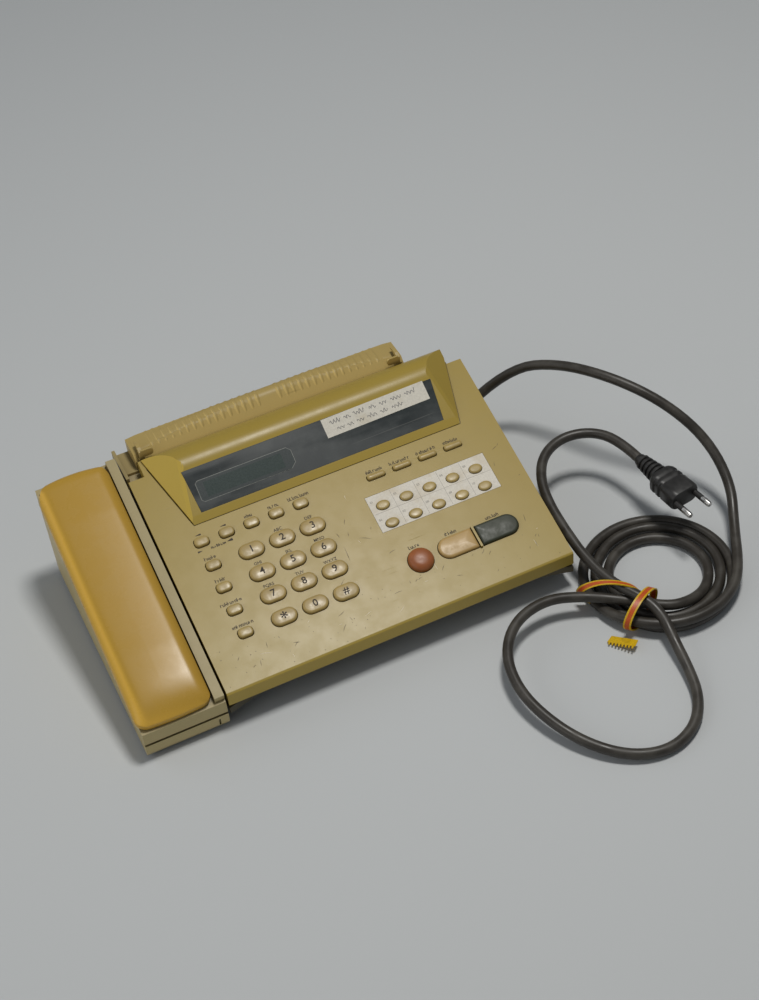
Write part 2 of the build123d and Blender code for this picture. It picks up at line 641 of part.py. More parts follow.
def build_motor():
    """Stepper motor: round can, mounting ears and front boss."""
    motor_y, motor_z = pinion_centre()
    can = rod_x(15.0, 150.7, 168.0, motor_y, motor_z)
    ears = block(150.6, 152.0, motor_y - 19.0, motor_y + 19.0, motor_z - 3.5, motor_z + 3.5)
    plug = block(155.0, 166.0, motor_y - 6.0, motor_y + 6.0, motor_z - 18.0, motor_z - 13.0)
    return can + ears + plug - rod_x(2.1, 150.0, 152.5, motor_y, motor_z)


def build_thermal_head():
    """Print head below the platen: heat sink, ceramic strip and driver cover."""
    x0, x1 = PATH_X - 109.0, PATH_X + 109.0
    strip_top = PLATEN_Z - PLATEN_RADIUS - 0.1
    strip = block(x0, x1, PLATEN_Y - 6.0, PLATEN_Y + 6.0, strip_top - 1.2, strip_top)
    sink = block(x0, x1, PLATEN_Y - 7.5, PLATEN_Y + 7.5, strip_top - 7.2, strip_top - 1.2)
    head = strip + sink
    for index in range(10):
        fin_x = x0 + 10 + 22 * index
        head += block(fin_x, fin_x + 4, PLATEN_Y - 7.5, PLATEN_Y + 7.5, strip_top - 14.0, strip_top - 7.2)
    return head


def build_image_sensor():
    """Contact image sensor: long bar with a glass face level with the paper deck."""
    x_mid = PATH_X - PANEL_LEFT
    x0, x1 = x_mid - SENSOR_HALF, x_mid + SENSOR_HALF
    bar = block(x0, x1, SENSOR_S - 7.5, SENSOR_S + 7.5, DECK_H - 12.0, DECK_H - 1.0)
    glass = block(x0, x1, SENSOR_S - 5.0, SENSOR_S + 5.0, DECK_H - 1.0, DECK_H + 0.1)
    return PANEL * (bar + glass)


def build_paper_roll():
    """Thermal paper roll on its hollow core."""
    x0, x1 = PATH_X - ROLL_WIDTH / 2, PATH_X + ROLL_WIDTH / 2
    return rod_x(ROLL_RADIUS, x0, x1, ROLL_Y, ROLL_Z) - rod_x(6.3, x0 - 1, x1 + 1, ROLL_Y, ROLL_Z)


# x, y, width, depth and height of the main board's large parts
BOARD_PARTS = [
    (-50, -60, 22, 22, 3), (-10, -58, 28, 14, 4), (30, -62, 14, 14, 9), (62, -50, 26, 20, 10),
    (-64, -24, 12, 18, 10), (-30, -26, 30, 12, 6), (20, -24, 18, 18, 12), (60, -20, 16, 10, 14),
    (94, -60, 16, 26, 5), (92, -22, 20, 16, 12),
]


def build_main_board():
    """Main circuit board with its large parts, on four pillars."""
    top = 11.6
    board = block(-84.0, 110.0, -86.0, -8.0, top - BOARD_THICKNESS, top)
    for x, y, width, depth, height in BOARD_PARTS:
        board += block(x - width / 2, x + width / 2, y - depth / 2, y + depth / 2, top - 0.1, top + height)
    for x, y in ((-80.0, -82.0), (106.0, -82.0), (-80.0, -12.0), (106.0, -12.0)):
        board += rod_z(3.0, x, y, FOOT_HEIGHT + WALL, 10.1)
    return board


def build_speaker():
    """Loudspeaker: frame ring, cone and magnet."""
    floor_z = FOOT_HEIGHT + WALL
    frame = rod_z(SPEAKER_RADIUS, SPEAKER_X, SPEAKER_Y, floor_z, floor_z + 3.0)
    basket = Pos(SPEAKER_X, SPEAKER_Y, floor_z + 5.5) * Cone(SPEAKER_RADIUS - 1.5, 9.0, 5.0)
    magnet = rod_z(9.0, SPEAKER_X, SPEAKER_Y, floor_z + 8.0, floor_z + 13.0)
    return frame + basket + magnet


# ---- document support ---------------------------------------------------------------
def arch_solid(drop, x0, x1):
    """Space below the arched top of the document support."""
    low_z = SUPPORT_BOTTOM_Z - 6
    end_z, crown_z = SUPPORT_END_Z - drop, SUPPORT_CROWN_Z - drop
    middle = (x0 + x1) / 2
    arc = ThreePointArc((x0, 0, end_z), (middle, 0, crown_z), (x1, 0, end_z))
    rest = Polyline((x1, 0, end_z), (x1, 0, low_z), (x0, 0, low_z), (x0, 0, end_z))
    face = make_face([*arc.edges(), *rest.edges()])
    return extrude(face, 300, dir=(0, 1, 0), both=True)


def support_profile(inset):
    """Side outline of the support, rising from the display housing's back to its crown."""
    low = SUPPORT_BOTTOM_Z - (3 if inset else 0)
    return [
        (SUPPORT_FRONT_Y + inset, low),
        (SUPPORT_FRONT_Y + inset, SUPPORT_FRONT_Z - inset * 0.4),
        (SUPPORT_FRONT_Y + 2.0 + inset * 0.8, SUPPORT_FRONT_Z + 2.4 - inset * 0.8),
        (SUPPORT_FRONT_Y + 9.0, SUPPORT_CROWN_Z - 2.0 - inset * 1.2),
        (SUPPORT_FRONT_Y + 12.0, SUPPORT_CROWN_Z - inset),
        (BACK - 5.0 - inset, SUPPORT_CROWN_Z - 1.0 - inset),
        (BACK - inset, SUPPORT_CROWN_Z - 6.0 - inset),
        (BACK - inset, low),
    ]


def build_support():
    """Ribbed document support over the roll bay, with a way in for each guide's rack."""
    x0, x1 = PANEL_LEFT + SUPPORT_X[0], PANEL_LEFT + SUPPORT_X[1]
    solid = prism_x(support_profile(0.0), x0, x1) & arch_solid(0.0, x0, x1)
    hollow = prism_x(support_profile(2.0), x0 + 2.0, x1 - 2.0) & arch_solid(2.0, x0, x1)
    support = solid - hollow
    back = SUPPORT_FRONT_Y + 18.6
    support += block(x0 + 1, x1 - 1, SUPPORT_FRONT_Y + 1, back, SUPPORT_BOTTOM_Z, SUPPORT_BOTTOM_Z + 1.5)
    for sign in (-1, 1):
        ends = sorted((PATH_X + sign * (GUIDE_X - GUIDE_TRAVEL - 2.6), PATH_X + sign * (GUIDE_X + 2.6)))
        support -= block(*ends, SUPPORT_FRONT_Y - 1, SUPPORT_FRONT_Y + 2.5, RACK_Z - 1.8, RACK_Z + 1.8)
    return support + rod_z(2.0, PATH_X, RACK_PINION_Y, SUPPORT_BOTTOM_Z + 1.0, RACK_Z + 3.0)


RACK_PINION_Y = SUPPORT_FRONT_Y + 10.6
GUIDE_PITCH_RADIUS = GUIDE_MODULE * GUIDE_PINION_TEETH / 2
# outline of a rack's tooth: parts of the pitch along the rack, and of the tooth's height
RACK_TOOTH = [(0.31, 1.3), (0.31, 1.15), (0.10, -1.0), (-0.10, -1.0), (-0.31, 1.15), (-0.31, 1.3)]


def build_guide(sign):
    """Width guide at its widest: fence and thumb tab on a stem, and a rack that meets the pinion."""
    x = PATH_X + sign * GUIDE_X
    stem_front, stem_back = GUIDE_Y - 0.8, GUIDE_Y + 0.8
    fence_outline = [
        (stem_front, RACK_Z - 1.2),
        (stem_back, RACK_Z - 1.2),
        (stem_back, SUPPORT_FRONT_Z + 1.6),
        (GUIDE_Y + 6.6, SUPPORT_FRONT_Z + 9.6),
        (GUIDE_Y + 13.0, SUPPORT_FRONT_Z + 9.8),
        (GUIDE_Y + 12.0, GUIDE_TOP_Z - 1.0),
        (GUIDE_Y + 8.0, GUIDE_TOP_Z),
        (stem_front + 4.0, GUIDE_TOP_Z),
        (stem_front, GUIDE_TOP_Z - 2.0),
    ]
    fence = prism_x(fence_outline, x - 1.3, x + 1.3)
    tab_x = sorted((x, x - sign * GUIDE_TAB_WIDTH))
    tab = block(*tab_x, stem_front, stem_back, GUIDE_TAB_LOW_Z, GUIDE_TOP_Z - 1.0)
    inner_corners = tab.edges().filter_by(Axis.Y).sort_by(Axis.X)
    tab = fillet(inner_corners[:2] if sign > 0 else inner_corners[-2:], GUIDE_TAB_CORNER)
    foot = block(x - 2.4, x + 2.4, stem_front, stem_back, SUPPORT_FRONT_Z + 2.0, SUPPORT_FRONT_Z + 4.0)
    stem = block(x - 2.0, x + 2.0, stem_front, stem_back, RACK_Z - 1.2, SUPPORT_FRONT_Z + 2.2)
    gap = GUIDE_MODULE * 0.9
    side = -sign
    line_y = RACK_PINION_Y + side * GUIDE_PITCH_RADIUS
    far_x = PATH_X - sign * RACK_OVERRUN
    span = sorted((x, far_x))
    back = sorted((line_y + side * gap * 1.2, line_y + side * (gap * 1.2 + 1.4)))
    bar = block(*span, *back, RACK_Z - 1.2, RACK_Z + 1.2)
    arm_y = sorted((stem_front, (back[0] + back[1]) / 2))
    arm = block(x - 2.0, x + 2.0, *arm_y, RACK_Z - 1.2, RACK_Z + 1.2)
    guide = fence + tab + foot + stem + bar + arm
    pitch = math.pi * GUIDE_MODULE
    toothed = sorted((far_x, PATH_X + sign * (GUIDE_TRAVEL + RACK_OVERRUN)))
    first = math.ceil((toothed[0] - PATH_X) / pitch - 0.5)
    last = math.floor((toothed[1] - PATH_X) / pitch - 0.5)
    for index in range(first, last + 1):
        tooth_x = PATH_X + (index + 0.5) * pitch
        if span[0] + 1 < tooth_x < span[1] - 1:
            points = [(tooth_x + part * pitch, line_y + side * gap * reach) for part, reach in RACK_TOOTH]
            outline = Polyline(*points, close=True)
            guide += Pos(0, 0, RACK_Z - 1.2) * extrude(make_face(outline), 2.4)
    return guide


def build_guide_pinion():
    """Small gear between the two racks; a tooth points along X at rest."""
    wheel = gear(GUIDE_PINION_TEETH, GUIDE_MODULE, 2.4, 2.05)
    return Pos(PATH_X, RACK_PINION_Y, RACK_Z) * Rot(0, 0, 90.0) * wheel


# ---- handset and cradle -------------------------------------------------------------
def handset_outline(width, s0, s1, corner, bow):
    """Plan of the handset with gently bowed ends, centred on x = 0."""
    half = width / 2
    back = ThreePointArc((half, s1 - bow), (0, s1), (-half, s1 - bow))
    front = ThreePointArc((-half, s0 + bow * 0.4), (0, s0), (half, s0 + bow * 0.4))
    left = Line((-half, s1 - bow), (-half, s0 + bow * 0.4))
    right = Line((half, s0 + bow * 0.4), (half, s1 - bow))
    face = make_face([*back.edges(), *left.edges(), *front.edges(), *right.edges()])
    return fillet(face.vertices(), corner)


def build_back_shell():
    """Outer shell of the handset: shallow dish with a sloping nose at its front end."""
    seat = HANDSET_SEAT_H + 0.2
    outline = handset_outline(HANDSET_WIDTH, HANDSET_S[0], HANDSET_S[1], 10.0, 5.0)
    solid = Pos(0, 0, seat) * extrude(outline, HANDSET_TOP_H - seat)
    nose_cut = prism_x([(-6, -4.5), (-6, 30), (30, 30), (30, HANDSET_TOP_H)], -60, 60)
    solid -= nose_cut
    upper = solid.edges().filter_by(lambda edge: edge.bounding_box().min.Z > seat + 0.5)
    rim = [edge for edge in upper if abs(edge.tangent_at(0.5).Z) < 0.6]
    solid = fillet(rim, 2.0)
    inner = handset_outline(HANDSET_WIDTH - 5.0, HANDSET_S[0] + 4.0, HANDSET_S[1] - 2.5, 6.0, 5.0)
    hollow = Pos(0, 0, seat - 1) * extrude(inner, HANDSET_TOP_H - seat - HANDSET_BACK_WALL + 1)
    hollow -= prism_x([(-6, -9.0), (-6, 30), (36, 30), (36, HANDSET_TOP_H - 2.2)], -60, 60)
    return PANEL * Pos(HANDSET_X, 0, 0) * (solid - hollow)


def build_face_shell():
    """Inner half of the handset: ear cup, grip and mouth cup, with their grilles and capsules."""
    top = HANDSET_SEAT_H
    s0, s1 = HANDSET_S[0] + 5.5, HANDSET_S[1] - 4.0
    half = FACE_WIDTH / 2
    grip = block(-half, half, s0, s1, top - GRIP_DEPTH, top)
    shell = fillet(grip.edges().filter_by(Axis.Z), 6.0)
    for low, high in ((s0, s0 + CUP_LENGTH), (s1 - CUP_LENGTH, s1)):
        cup = block(-half, half, low, high, top - CUP_DEPTH, top)
        cup = fillet(cup.edges().filter_by(Axis.Z), 7.0)
        shell += fillet(cup.faces().sort_by(Axis.Z)[0].edges(), 2.0)
    shell -= block(-half + 2, half - 2, s0 + 3, s1 - 3, top - GRIP_DEPTH + 2, top + 1)
    capsules = []
    for low, high in ((s0, s0 + CUP_LENGTH), (s1 - CUP_LENGTH, s1)):
        shell -= block(-half + 3, half - 3, low + 4, high - 4, top - CUP_DEPTH + 2, top + 1)
        middle = (low + high) / 2
        floor_h = top - CUP_DEPTH
        for ring, count in ((0.0, 1), (5.0, 6), (10.0, 12)):
            for index in range(count):
                angle = 2 * math.pi * index / count
                x, s = ring * math.cos(angle), middle + ring * math.sin(angle)
                shell -= rod_z(0.9, x, s, floor_h - 1, floor_h + 3)
        capsules.append(rod_z(13.0, 0, middle, floor_h + 2.0, floor_h + 8.0))
    placed = [PANEL * Pos(HANDSET_X, 0, 0) * piece for piece in (shell, *capsules)]
    return group(placed)


def cradle_top(inset):
    """Side outline of the cradle's body."""
    front_low, front_high = FRONT + 0.5 + inset, FRONT + 0.8 + inset
    bottom = FOOT_HEIGHT - (5 if inset else 0)
    back_y, back_z = to_world(CRADLE_END_S, CRADLE_TOP_H - inset)
    return [
        (front_low + 2.0, bottom),
        (front_low, FOOT_HEIGHT + 4),
        (front_high, to_world(0, CRADLE_TOP_H - inset)[1]),
        (back_y - inset, back_z),
        (back_y - inset, bottom),
    ]


def build_cradle():
    """Handset cradle: hollow wedge with two cups, a grip trough and the raised rim strip."""
    body = prism_x(cradle_top(0.0), CRADLE_LEFT, CRADLE_RIGHT)
    cradle = body - prism_x(cradle_top(WALL), CRADLE_LEFT + WALL, CRADLE_RIGHT - WALL)
    strip = [
        to_world(1.0, CRADLE_TOP_H - 1),
        to_world(1.5, -1.2),
        to_world(CRADLE_END_S - 1.0, -1.2),
        to_world(CRADLE_END_S - 0.5, CRADLE_TOP_H - 1),
    ]
    strip_x = PANEL_LEFT + HANDSET_X + HANDSET_WIDTH / 2 + 0.7
    rim = prism_x(strip, strip_x, CRADLE_RIGHT)
    half = FACE_WIDTH / 2 + 0.5
    s0, s1 = HANDSET_S[0] + 5.0, HANDSET_S[1] - 3.5
    pans = Part()
    holes = Part()
    for low, high, depth in (
        (s0, s0 + CUP_LENGTH + 1.0, CUP_DEPTH),
        (s0 + 10, s1 - 10, GRIP_DEPTH),
        (s1 - CUP_LENGTH - 1.0, s1, CUP_DEPTH),
    ):
        floor_h = HANDSET_SEAT_H - depth - 0.5
        pan_x = (HANDSET_X - half - 2.0, HANDSET_X + half + 2.0)
        pans += block(*pan_x, low - 2.0, high + 2.0, floor_h - 2.0, CRADLE_TOP_H)
        holes += block(HANDSET_X - half, HANDSET_X + half, low, high, floor_h, 20.0)
    clip = block(CRADLE_LEFT - PANEL_LEFT, CRADLE_RIGHT - PANEL_LEFT, -2, 230, -60, CRADLE_TOP_H)
    cradle += PANEL * (pans & clip)
    cradle -= PANEL * holes
    cradle += rim
    cradle -= PANEL * rod_z(HOOK_RADIUS + 0.3, HANDSET_X, HOOK_S, -60, 0)
    cradle &= block(CRADLE_LEFT, CRADLE_RIGHT, FRONT, BACK, FOOT_HEIGHT, 120)
    for low_z, high_z, depth in ((15.6, 17.8, 1.4), (29.6, 30.3, 1.0)):
        cradle -= block(LEFT, CRADLE_RIGHT + 1, FRONT - 1, FRONT + 0.8 + depth, low_z, high_z)
    cradle -= block(CRADLE_RIGHT - 8.0, CRADLE_RIGHT - 6.6, FRONT - 1, FRONT + 2.4, 6.5, 13.0)
    return cradle - block(LEFT + 22, LEFT + 34, BACK - 19, BACK, 14.0, 22.0)


HOOK_S = HANDSET_S[1] - 4.0 - CUP_LENGTH + 9.0
HOOK_RADIUS = 3.0


def build_hook_switch():
    """Plunger below the ear cup that the resting handset holds down."""
    floor_h = HANDSET_SEAT_H - CUP_DEPTH - 0.5
    plunger = rod_z(HOOK_RADIUS, HANDSET_X, HOOK_S, floor_h - 14.0, floor_h + 0.45)
    collar = rod_z(HOOK_RADIUS + 2.0, HANDSET_X, HOOK_S, floor_h - 9.0, floor_h - 7.0)
    return PANEL * (plunger + collar)


# ---- power cord ---------------------------------------------------------------------
EXIT_DIRECTION = (0.8, -0.1, 0.59)
PLUG_DIRECTION = (0.16, -1.0, 0.0)

FAR_ARC = [
    (220.3, 70.4, 63.0), (247.0, 38.0, 80.0), (272.0, -4.0, 86.0), (299.0, -38.0, 74.0),
    (320.0, -68.0, 50.0), (322.0, -102.0, 28.0), (306.0, -132.0, 16.0), (280.0, -152.0, 12.0),
]
LOWER_LOOP = [
    (210.0, -185.0, 18.0), (208.0, -202.0, 12.5), (205.0, -228.0, 7.5), (199.0, -253.0, 5.2),
    (183.0, -274.0, 4.6), (157.0, -284.0, 4.6), (129.0, -276.0, 6.0), (106.0, -254.0, 9.0),
    (91.0, -225.0, 12.5), (84.0, -193.0, 16.0), (90.0, -162.0, 19.0), (110.0, -139.0, 21.0),
    (140.0, -131.0, 21.0), (168.0, -139.0, 17.5), (194.0, -155.0, 15.0),
]
PLUG_LEAD = [
    (206.0, -168.0, 22.0), (191.0, -142.0, 23.0), (185.0, -112.0, 26.0), (184.0, -83.0, 31.0),
    (185.0, -57.0, 35.0), (190.0, -34.0, 39.0), (203.0, -14.0, 42.0), (225.0, -5.0, 44.0),
    (248.0, -12.0, 45.5), (262.0, -32.0, 46.0), (266.0, -58.0, 44.0),
]


def exit_point():
    """Tip of the strain relief, where the cord leaves it."""
    direction = Vector(*EXIT_DIRECTION).normalized()
    return Vector(*CORD_EXIT) + direction * RELIEF_LENGTH


def cord_tube(name, points):
    """Round cord through a route of straight runs joined by arcs as large as the runs allow."""
    route = [Vector(*point) for point in points]
    radii = []
    for before, corner, after in zip(route, route[1:], route[2:]):
        arriving, leaving = corner - before, after - corner
        half_turn = math.radians(arriving.get_angle(leaving)) / 2
        radii.append(0.45 * min(arriving.length, leaving.length) / math.tan(half_turn))
    path = FilletPolyline(*route, radius=radii)
    section = Plane(origin=route[0], z_dir=route[1] - route[0]) * Circle(CORD_DIAMETER / 2)
    tube = sweep(section, path=path)
    expected = math.pi * (CORD_DIAMETER / 2) ** 2 * path.length
    bends = [round(radius) for radius in radii]
    print(f"{name}: length {path.length:.0f} radii {bends} volume ratio {tube.volume / expected:.4f}")
    return tube


def build_relief():
    """Rubber strain relief: flange inside the wall and a ringed taper outside it."""
    frame = Location(Plane(origin=CORD_EXIT, z_dir=EXIT_DIRECTION))
    taper = Pos(0, 0, RELIEF_LENGTH / 2) * Cone(6.2, 4.9, RELIEF_LENGTH)
    shank = Pos(0, 0, -5.6) * Cylinder(6.2, 11.4)
    relief = taper + shank
    for ring in range(3):
        height = 7.0 + 4.6 * ring
        radius = 6.6 - 0.35 * ring
        relief += Pos(0, 0, height) * Cylinder(radius, 1.8)
    flange = Pos(0, 0, -12.6) * Cylinder(8.5, 3.0)
    return frame * (relief + flange)


def build_coil():
    """Outer shape of the coiled cord: a flat ring with rounded edges, on the floor."""
    ring = Cylinder(COIL_OUTER, COIL_HEIGHT) - Cylinder(COIL_INNER, COIL_HEIGHT)
    rims = ring.edges().filter_by(GeomType.CIRCLE).sort_by(Axis.Z)[-2:]
    ring = fillet(rims, 7.0)
    return Pos(COIL_CENTRE[0], COIL_CENTRE[1], COIL_HEIGHT / 2 + 0.2) * ring


def build_plug():
    """Moulded two-pin plug with a ringed strain relief, lying on the coil."""
    start = Vector(*PLUG_LEAD[-1])
    direction = Vector(*PLUG_DIRECTION).normalized()
    frame = Location(Plane(origin=start, x_dir=(1, 0, 0), z_dir=direction))
    plug = Pos(0, 0, 12.0) * Cone(5.0, 7.5, 24.0)
    for ring in range(5):
        plug += Pos(0, 0, 3.5 + 4.4 * ring) * Cylinder(6.4 + 0.55 * ring, 2.0)
    body = Pos(0, 0, 38.0) * Box(26.0, 17.0, 30.0)
    plug += fillet(body.edges(), 4.5)
    for x in (-9.5, 9.5):
        plug += Pos(x, 0, 61.0) * Cylinder(2.4, 19.0)
    return frame * plug


def main():
    os.makedirs("parts", exist_ok=True)
    nodes = build_keys()
    nodes.update(
        base_housing=build_base(),
        control_panel_cover=build_cover(),
        display_window=build_window(),
        lcd_module=build_lcd(),
        one_touch_label=build_label(),
        panel_circuit_board=build_panel_board(),
        handset_cradle=build_cradle(),
        handset_back_shell=build_back_shell(),
        handset_face_shell=build_face_shell(),
        hook_switch=build_hook_switch(),
        document_support=build_support(),
        document_guide_left=build_guide(-1),
        document_guide_right=build_guide(1),
        guide_pinion=build_guide_pinion(),
        platen_roller=build_roller(PLATEN_RADIUS, 3.0, PLATEN_Y, PLATEN_Z, PLATEN_TEETH, 143.0),
        feed_roller=build_roller(FEED_RADIUS, 2.5, FEED_Y, FEED_Z, FEED_TEETH, 137.0),
        motor_pinion=build_pinion(),
        drive_motor=build_motor(),
        thermal_printhead=build_thermal_head(),
        image_sensor=build_image_sensor(),
        paper_roll=build_paper_roll(),
        main_circuit_board=build_main_board(),
        speaker=build_speaker(),
        rubber_feet=build_feet(),
        case_screws=build_screws(),
        cord_strain_relief=build_relief(),
        power_cord=cord_tube("power_cord", [tuple(exit_point()), *FAR_ARC]),
        power_cord_loop=cord_tube("power_cord_loop", LOWER_LOOP),
        plug_lead=cord_tube("plug_lead", PLUG_LEAD),
        power_cord_coil=build_coil(),
        power_plug=build_plug(),
    )
    for name, shape in nodes.items():
        export_step(shape, f"parts/{name}.step")
    print(len(nodes), "nodes written")


main()
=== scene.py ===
import math
import random

import bmesh
import bpy
from mathutils import Matrix, Vector


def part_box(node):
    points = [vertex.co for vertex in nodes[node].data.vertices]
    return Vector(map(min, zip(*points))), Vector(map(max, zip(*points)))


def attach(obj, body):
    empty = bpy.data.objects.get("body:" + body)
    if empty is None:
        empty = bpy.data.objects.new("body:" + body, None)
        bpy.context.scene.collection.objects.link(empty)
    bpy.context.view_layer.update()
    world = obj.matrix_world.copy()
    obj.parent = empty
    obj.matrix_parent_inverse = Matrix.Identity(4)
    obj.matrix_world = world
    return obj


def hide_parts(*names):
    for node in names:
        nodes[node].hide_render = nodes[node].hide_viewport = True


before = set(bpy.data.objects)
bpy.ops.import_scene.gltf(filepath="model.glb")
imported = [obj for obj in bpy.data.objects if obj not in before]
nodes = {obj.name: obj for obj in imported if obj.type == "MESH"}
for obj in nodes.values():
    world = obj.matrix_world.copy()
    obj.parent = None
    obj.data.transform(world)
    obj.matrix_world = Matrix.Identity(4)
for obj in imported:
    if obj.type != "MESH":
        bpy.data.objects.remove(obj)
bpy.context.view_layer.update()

# Desktop fax machine. Everything is in metres, in the CAD frame: X right, Y back, Z up.
# Pieces of the sloping front are placed by panel coordinates: x from the panel's left edge,
# s up the slope and h out of its surface, all in millimetres.

MM = 0.001

# ---- places worked out from the frame ----
COVER_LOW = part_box("control_panel_cover")[0]
TILT = math.radians(17.0)
FRONT_EDGE_Z = 36.0 * MM
PANEL_X = Vector((1, 0, 0))
PANEL_S = Vector((0, math.cos(TILT), math.sin(TILT)))
PANEL_H = Vector((0, -math.sin(TILT), math.cos(TILT)))
PANEL_ORIGIN = Vector((COVER_LOW.x, COVER_LOW.y, FRONT_EDGE_Z))


def on_panel(x, s, h=0.0):
    """Point of the sloping front, from millimetres to the frame's metres."""
    return PANEL_ORIGIN + PANEL_X * (x * MM) + PANEL_S * (s * MM) + PANEL_H * (h * MM)


def panel_box(node):
    """Lowest and highest panel coordinates of a CAD node, in millimetres."""
    low, high = [1e9] * 3, [-1e9] * 3
    for vertex in nodes[node].data.vertices:
        offset = vertex.co - PANEL_ORIGIN
        place = [offset.dot(axis) / MM for axis in (PANEL_X, PANEL_S, PANEL_H)]
        low = [min(a, b) for a, b in zip(low, place)]
        high = [max(a, b) for a, b in zip(high, place)]
    return low, high


def link(name, data):
    """New object that holds some data, linked to the scene."""
    item = bpy.data.objects.new(name, data)
    bpy.context.scene.collection.objects.link(item)
    return item


# ---- camera and light ----
CAMERA_PLACE = Vector((-0.2795, -0.917, 1.042))
CAMERA_AZIMUTH = math.radians(20.7)
CAMERA_DOWN = math.radians(45.4)
CAMERA_ROLL = math.radians(-6.33)
CAMERA_LENS = 64.8


def make_camera():
    data = bpy.data.cameras.new("camera")
    data.lens = CAMERA_LENS
    data.sensor_width = 36.0
    data.clip_start, data.clip_end = 0.05, 20.0
    camera = link("camera", data)
    across, level = math.sin(CAMERA_AZIMUTH), math.cos(CAMERA_AZIMUTH)
    ahead = Vector((across * math.cos(CAMERA_DOWN), level * math.cos(CAMERA_DOWN), -math.sin(CAMERA_DOWN)))
    level_right = Vector((level, -across, 0.0))
    level_up = level_right.cross(ahead)
    right = level_right * math.cos(CAMERA_ROLL) + level_up * math.sin(CAMERA_ROLL)
    up = right.cross(ahead)
    turn = Matrix((right, up, -ahead)).transposed().to_4x4()
    camera.matrix_world = Matrix.Translation(CAMERA_PLACE) @ turn
    bpy.context.scene.camera = camera


def area_light(name, place, target, size, power, colour):
    data = bpy.data.lights.new(name, "AREA")
    data.shape = "DISK"
    data.size = size
    data.energy = power
    data.color = colour
    lamp = link(name, data)
    lamp.location = place
    lamp.rotation_euler = (Vector(target) - Vector(place)).to_track_quat("-Z", "Y").to_euler()


def make_light():
    """A lamp above, two faint fills from the sides, and a dim room."""
    area_light("ceiling_light", (0.38, -0.03, 1.95), (0.03, 0.0, 0.0), 0.42, 21.5, (1.0, 0.985, 0.95))
    area_light("window_fill", (-1.6, 1.3, 1.5), (0.0, 0.0, 0.0), 1.8, 5.0, (0.92, 0.96, 1.0))
    area_light("left_fill", (-1.3, -0.45, 0.75), (-0.05, 0.0, 0.05), 1.2, 3.2, (1.0, 0.98, 0.95))
    world = bpy.data.worlds.new("room")
    bpy.context.scene.world = world
    world.use_nodes = True
    background = world.node_tree.nodes["Background"]
    background.inputs["Color"].default_value = (0.80, 0.86, 0.92, 1.0)
    background.inputs["Strength"].default_value = 0.17


# ---- materials ----
class Surface:
    """A material's node tree, with short calls for the nodes used here."""

    def __init__(self, name):
        self.material = bpy.data.materials.new(name)
        self.material.use_nodes = True
        self.tree = self.material.node_tree
        self.shader = self.tree.nodes["Principled BSDF"]
        self.place = self.tree.nodes.new("ShaderNodeTexCoord").outputs["Object"]

    def add(self, kind, **inputs):
        node = self.tree.nodes.new(kind)
        for name, value in inputs.items():
            self.feed(node.inputs[name.replace("_", " ")], value)
        return node

    def feed(self, socket, value):
        if isinstance(value, bpy.types.NodeSocket):
            self.tree.links.new(value, socket)
        elif isinstance(value, (tuple, list)) and len(value) == 3 and socket.type == "RGBA":
            socket.default_value = (*value, 1.0)
        else:
            socket.default_value = value

    def noise(self, scale, detail=3.0, roughness=0.5, stretch=None, turn=(0, 0, 0)):
        """Noise from 0 to 1, stretched along an axis where stretch says so."""
        place = self.place
        if stretch:
            mapping = self.add("ShaderNodeMapping", Vector=place, Rotation=turn, Scale=stretch)
            place = mapping.outputs["Vector"]
        node = self.add("ShaderNodeTexNoise", Vector=place, Scale=scale, Detail=detail, Roughness=roughness)
        return node.outputs["Fac"]

    def axis(self, letter, vector=None):
        """One coordinate of a direction, or of the place on the object."""
        node = self.add("ShaderNodeSeparateXYZ", Vector=self.place if vector is None else vector)
        return node.outputs[letter]

    def step(self, value, low, high, to_low=0.0, to_high=1.0):
        """Smooth step of a value between two levels."""
        node = self.tree.nodes.new("ShaderNodeMapRange")
        node.interpolation_type = "SMOOTHSTEP"
        for socket, number in zip(node.inputs, (value, low, high, to_low, to_high)):
            self.feed(socket, number)
        return node.outputs["Result"]

    def math(self, operation, a, b):
        node = self.tree.nodes.new("ShaderNodeMath")
        node.operation = operation
        self.feed(node.inputs[0], a)
        self.feed(node.inputs[1], b)
        return node.outputs["Value"]

    def mix(self, factor, a, b):
        node = self.tree.nodes.new("ShaderNodeMix")
        node.data_type = "RGBA"
        self.feed(node.inputs[0], factor)
        self.feed(node.inputs[6], a)
        self.feed(node.inputs[7], b)
        return node.outputs[2]

    def crevices(self, distance, inside=False):
        """1 in open places and towards 0 in crevices, or on edges if inside."""
        node = self.tree.nodes.new("ShaderNodeAmbientOcclusion")
        node.samples = 6
        node.inside = inside
        node.only_local = inside
        node.inputs["Distance"].default_value = distance
        return node.outputs["AO"]

    def blots(self, base, colour, noise, low, high, most=1.0):
        """A second colour over the base in blots of noise, no stronger than most."""
        return self.mix(self.step(self.noise(*noise), low, high, 0.0, most), base, colour)

    def crevice_darkening(self, base, colour, distance, low, high, most):
        """Darker colour over the base in crevices found by ambient occlusion, no stronger than most."""
        return self.mix(self.step(self.crevices(distance), low, high, most, 0.0), base, colour)

    def bump(self, height, strength, distance, normal=None):
        node = self.add("ShaderNodeBump", Height=height, Strength=strength, Distance=distance)
        if normal is not None:
            self.feed(node.inputs["Normal"], normal)
        return node.outputs["Normal"]

    def finish(self, colour, roughness, normal=None, **plain):
        self.feed(self.shader.inputs["Base Color"], colour)
        self.feed(self.shader.inputs["Roughness"], roughness)
        if normal is not None:
            self.feed(self.shader.inputs["Normal"], normal)
        for name, value in plain.items():
            self.shader.inputs[name.replace("_", " ")].default_value = value
        return self.material


def shade(colour, factor):
    return tuple(channel * factor for channel in colour)


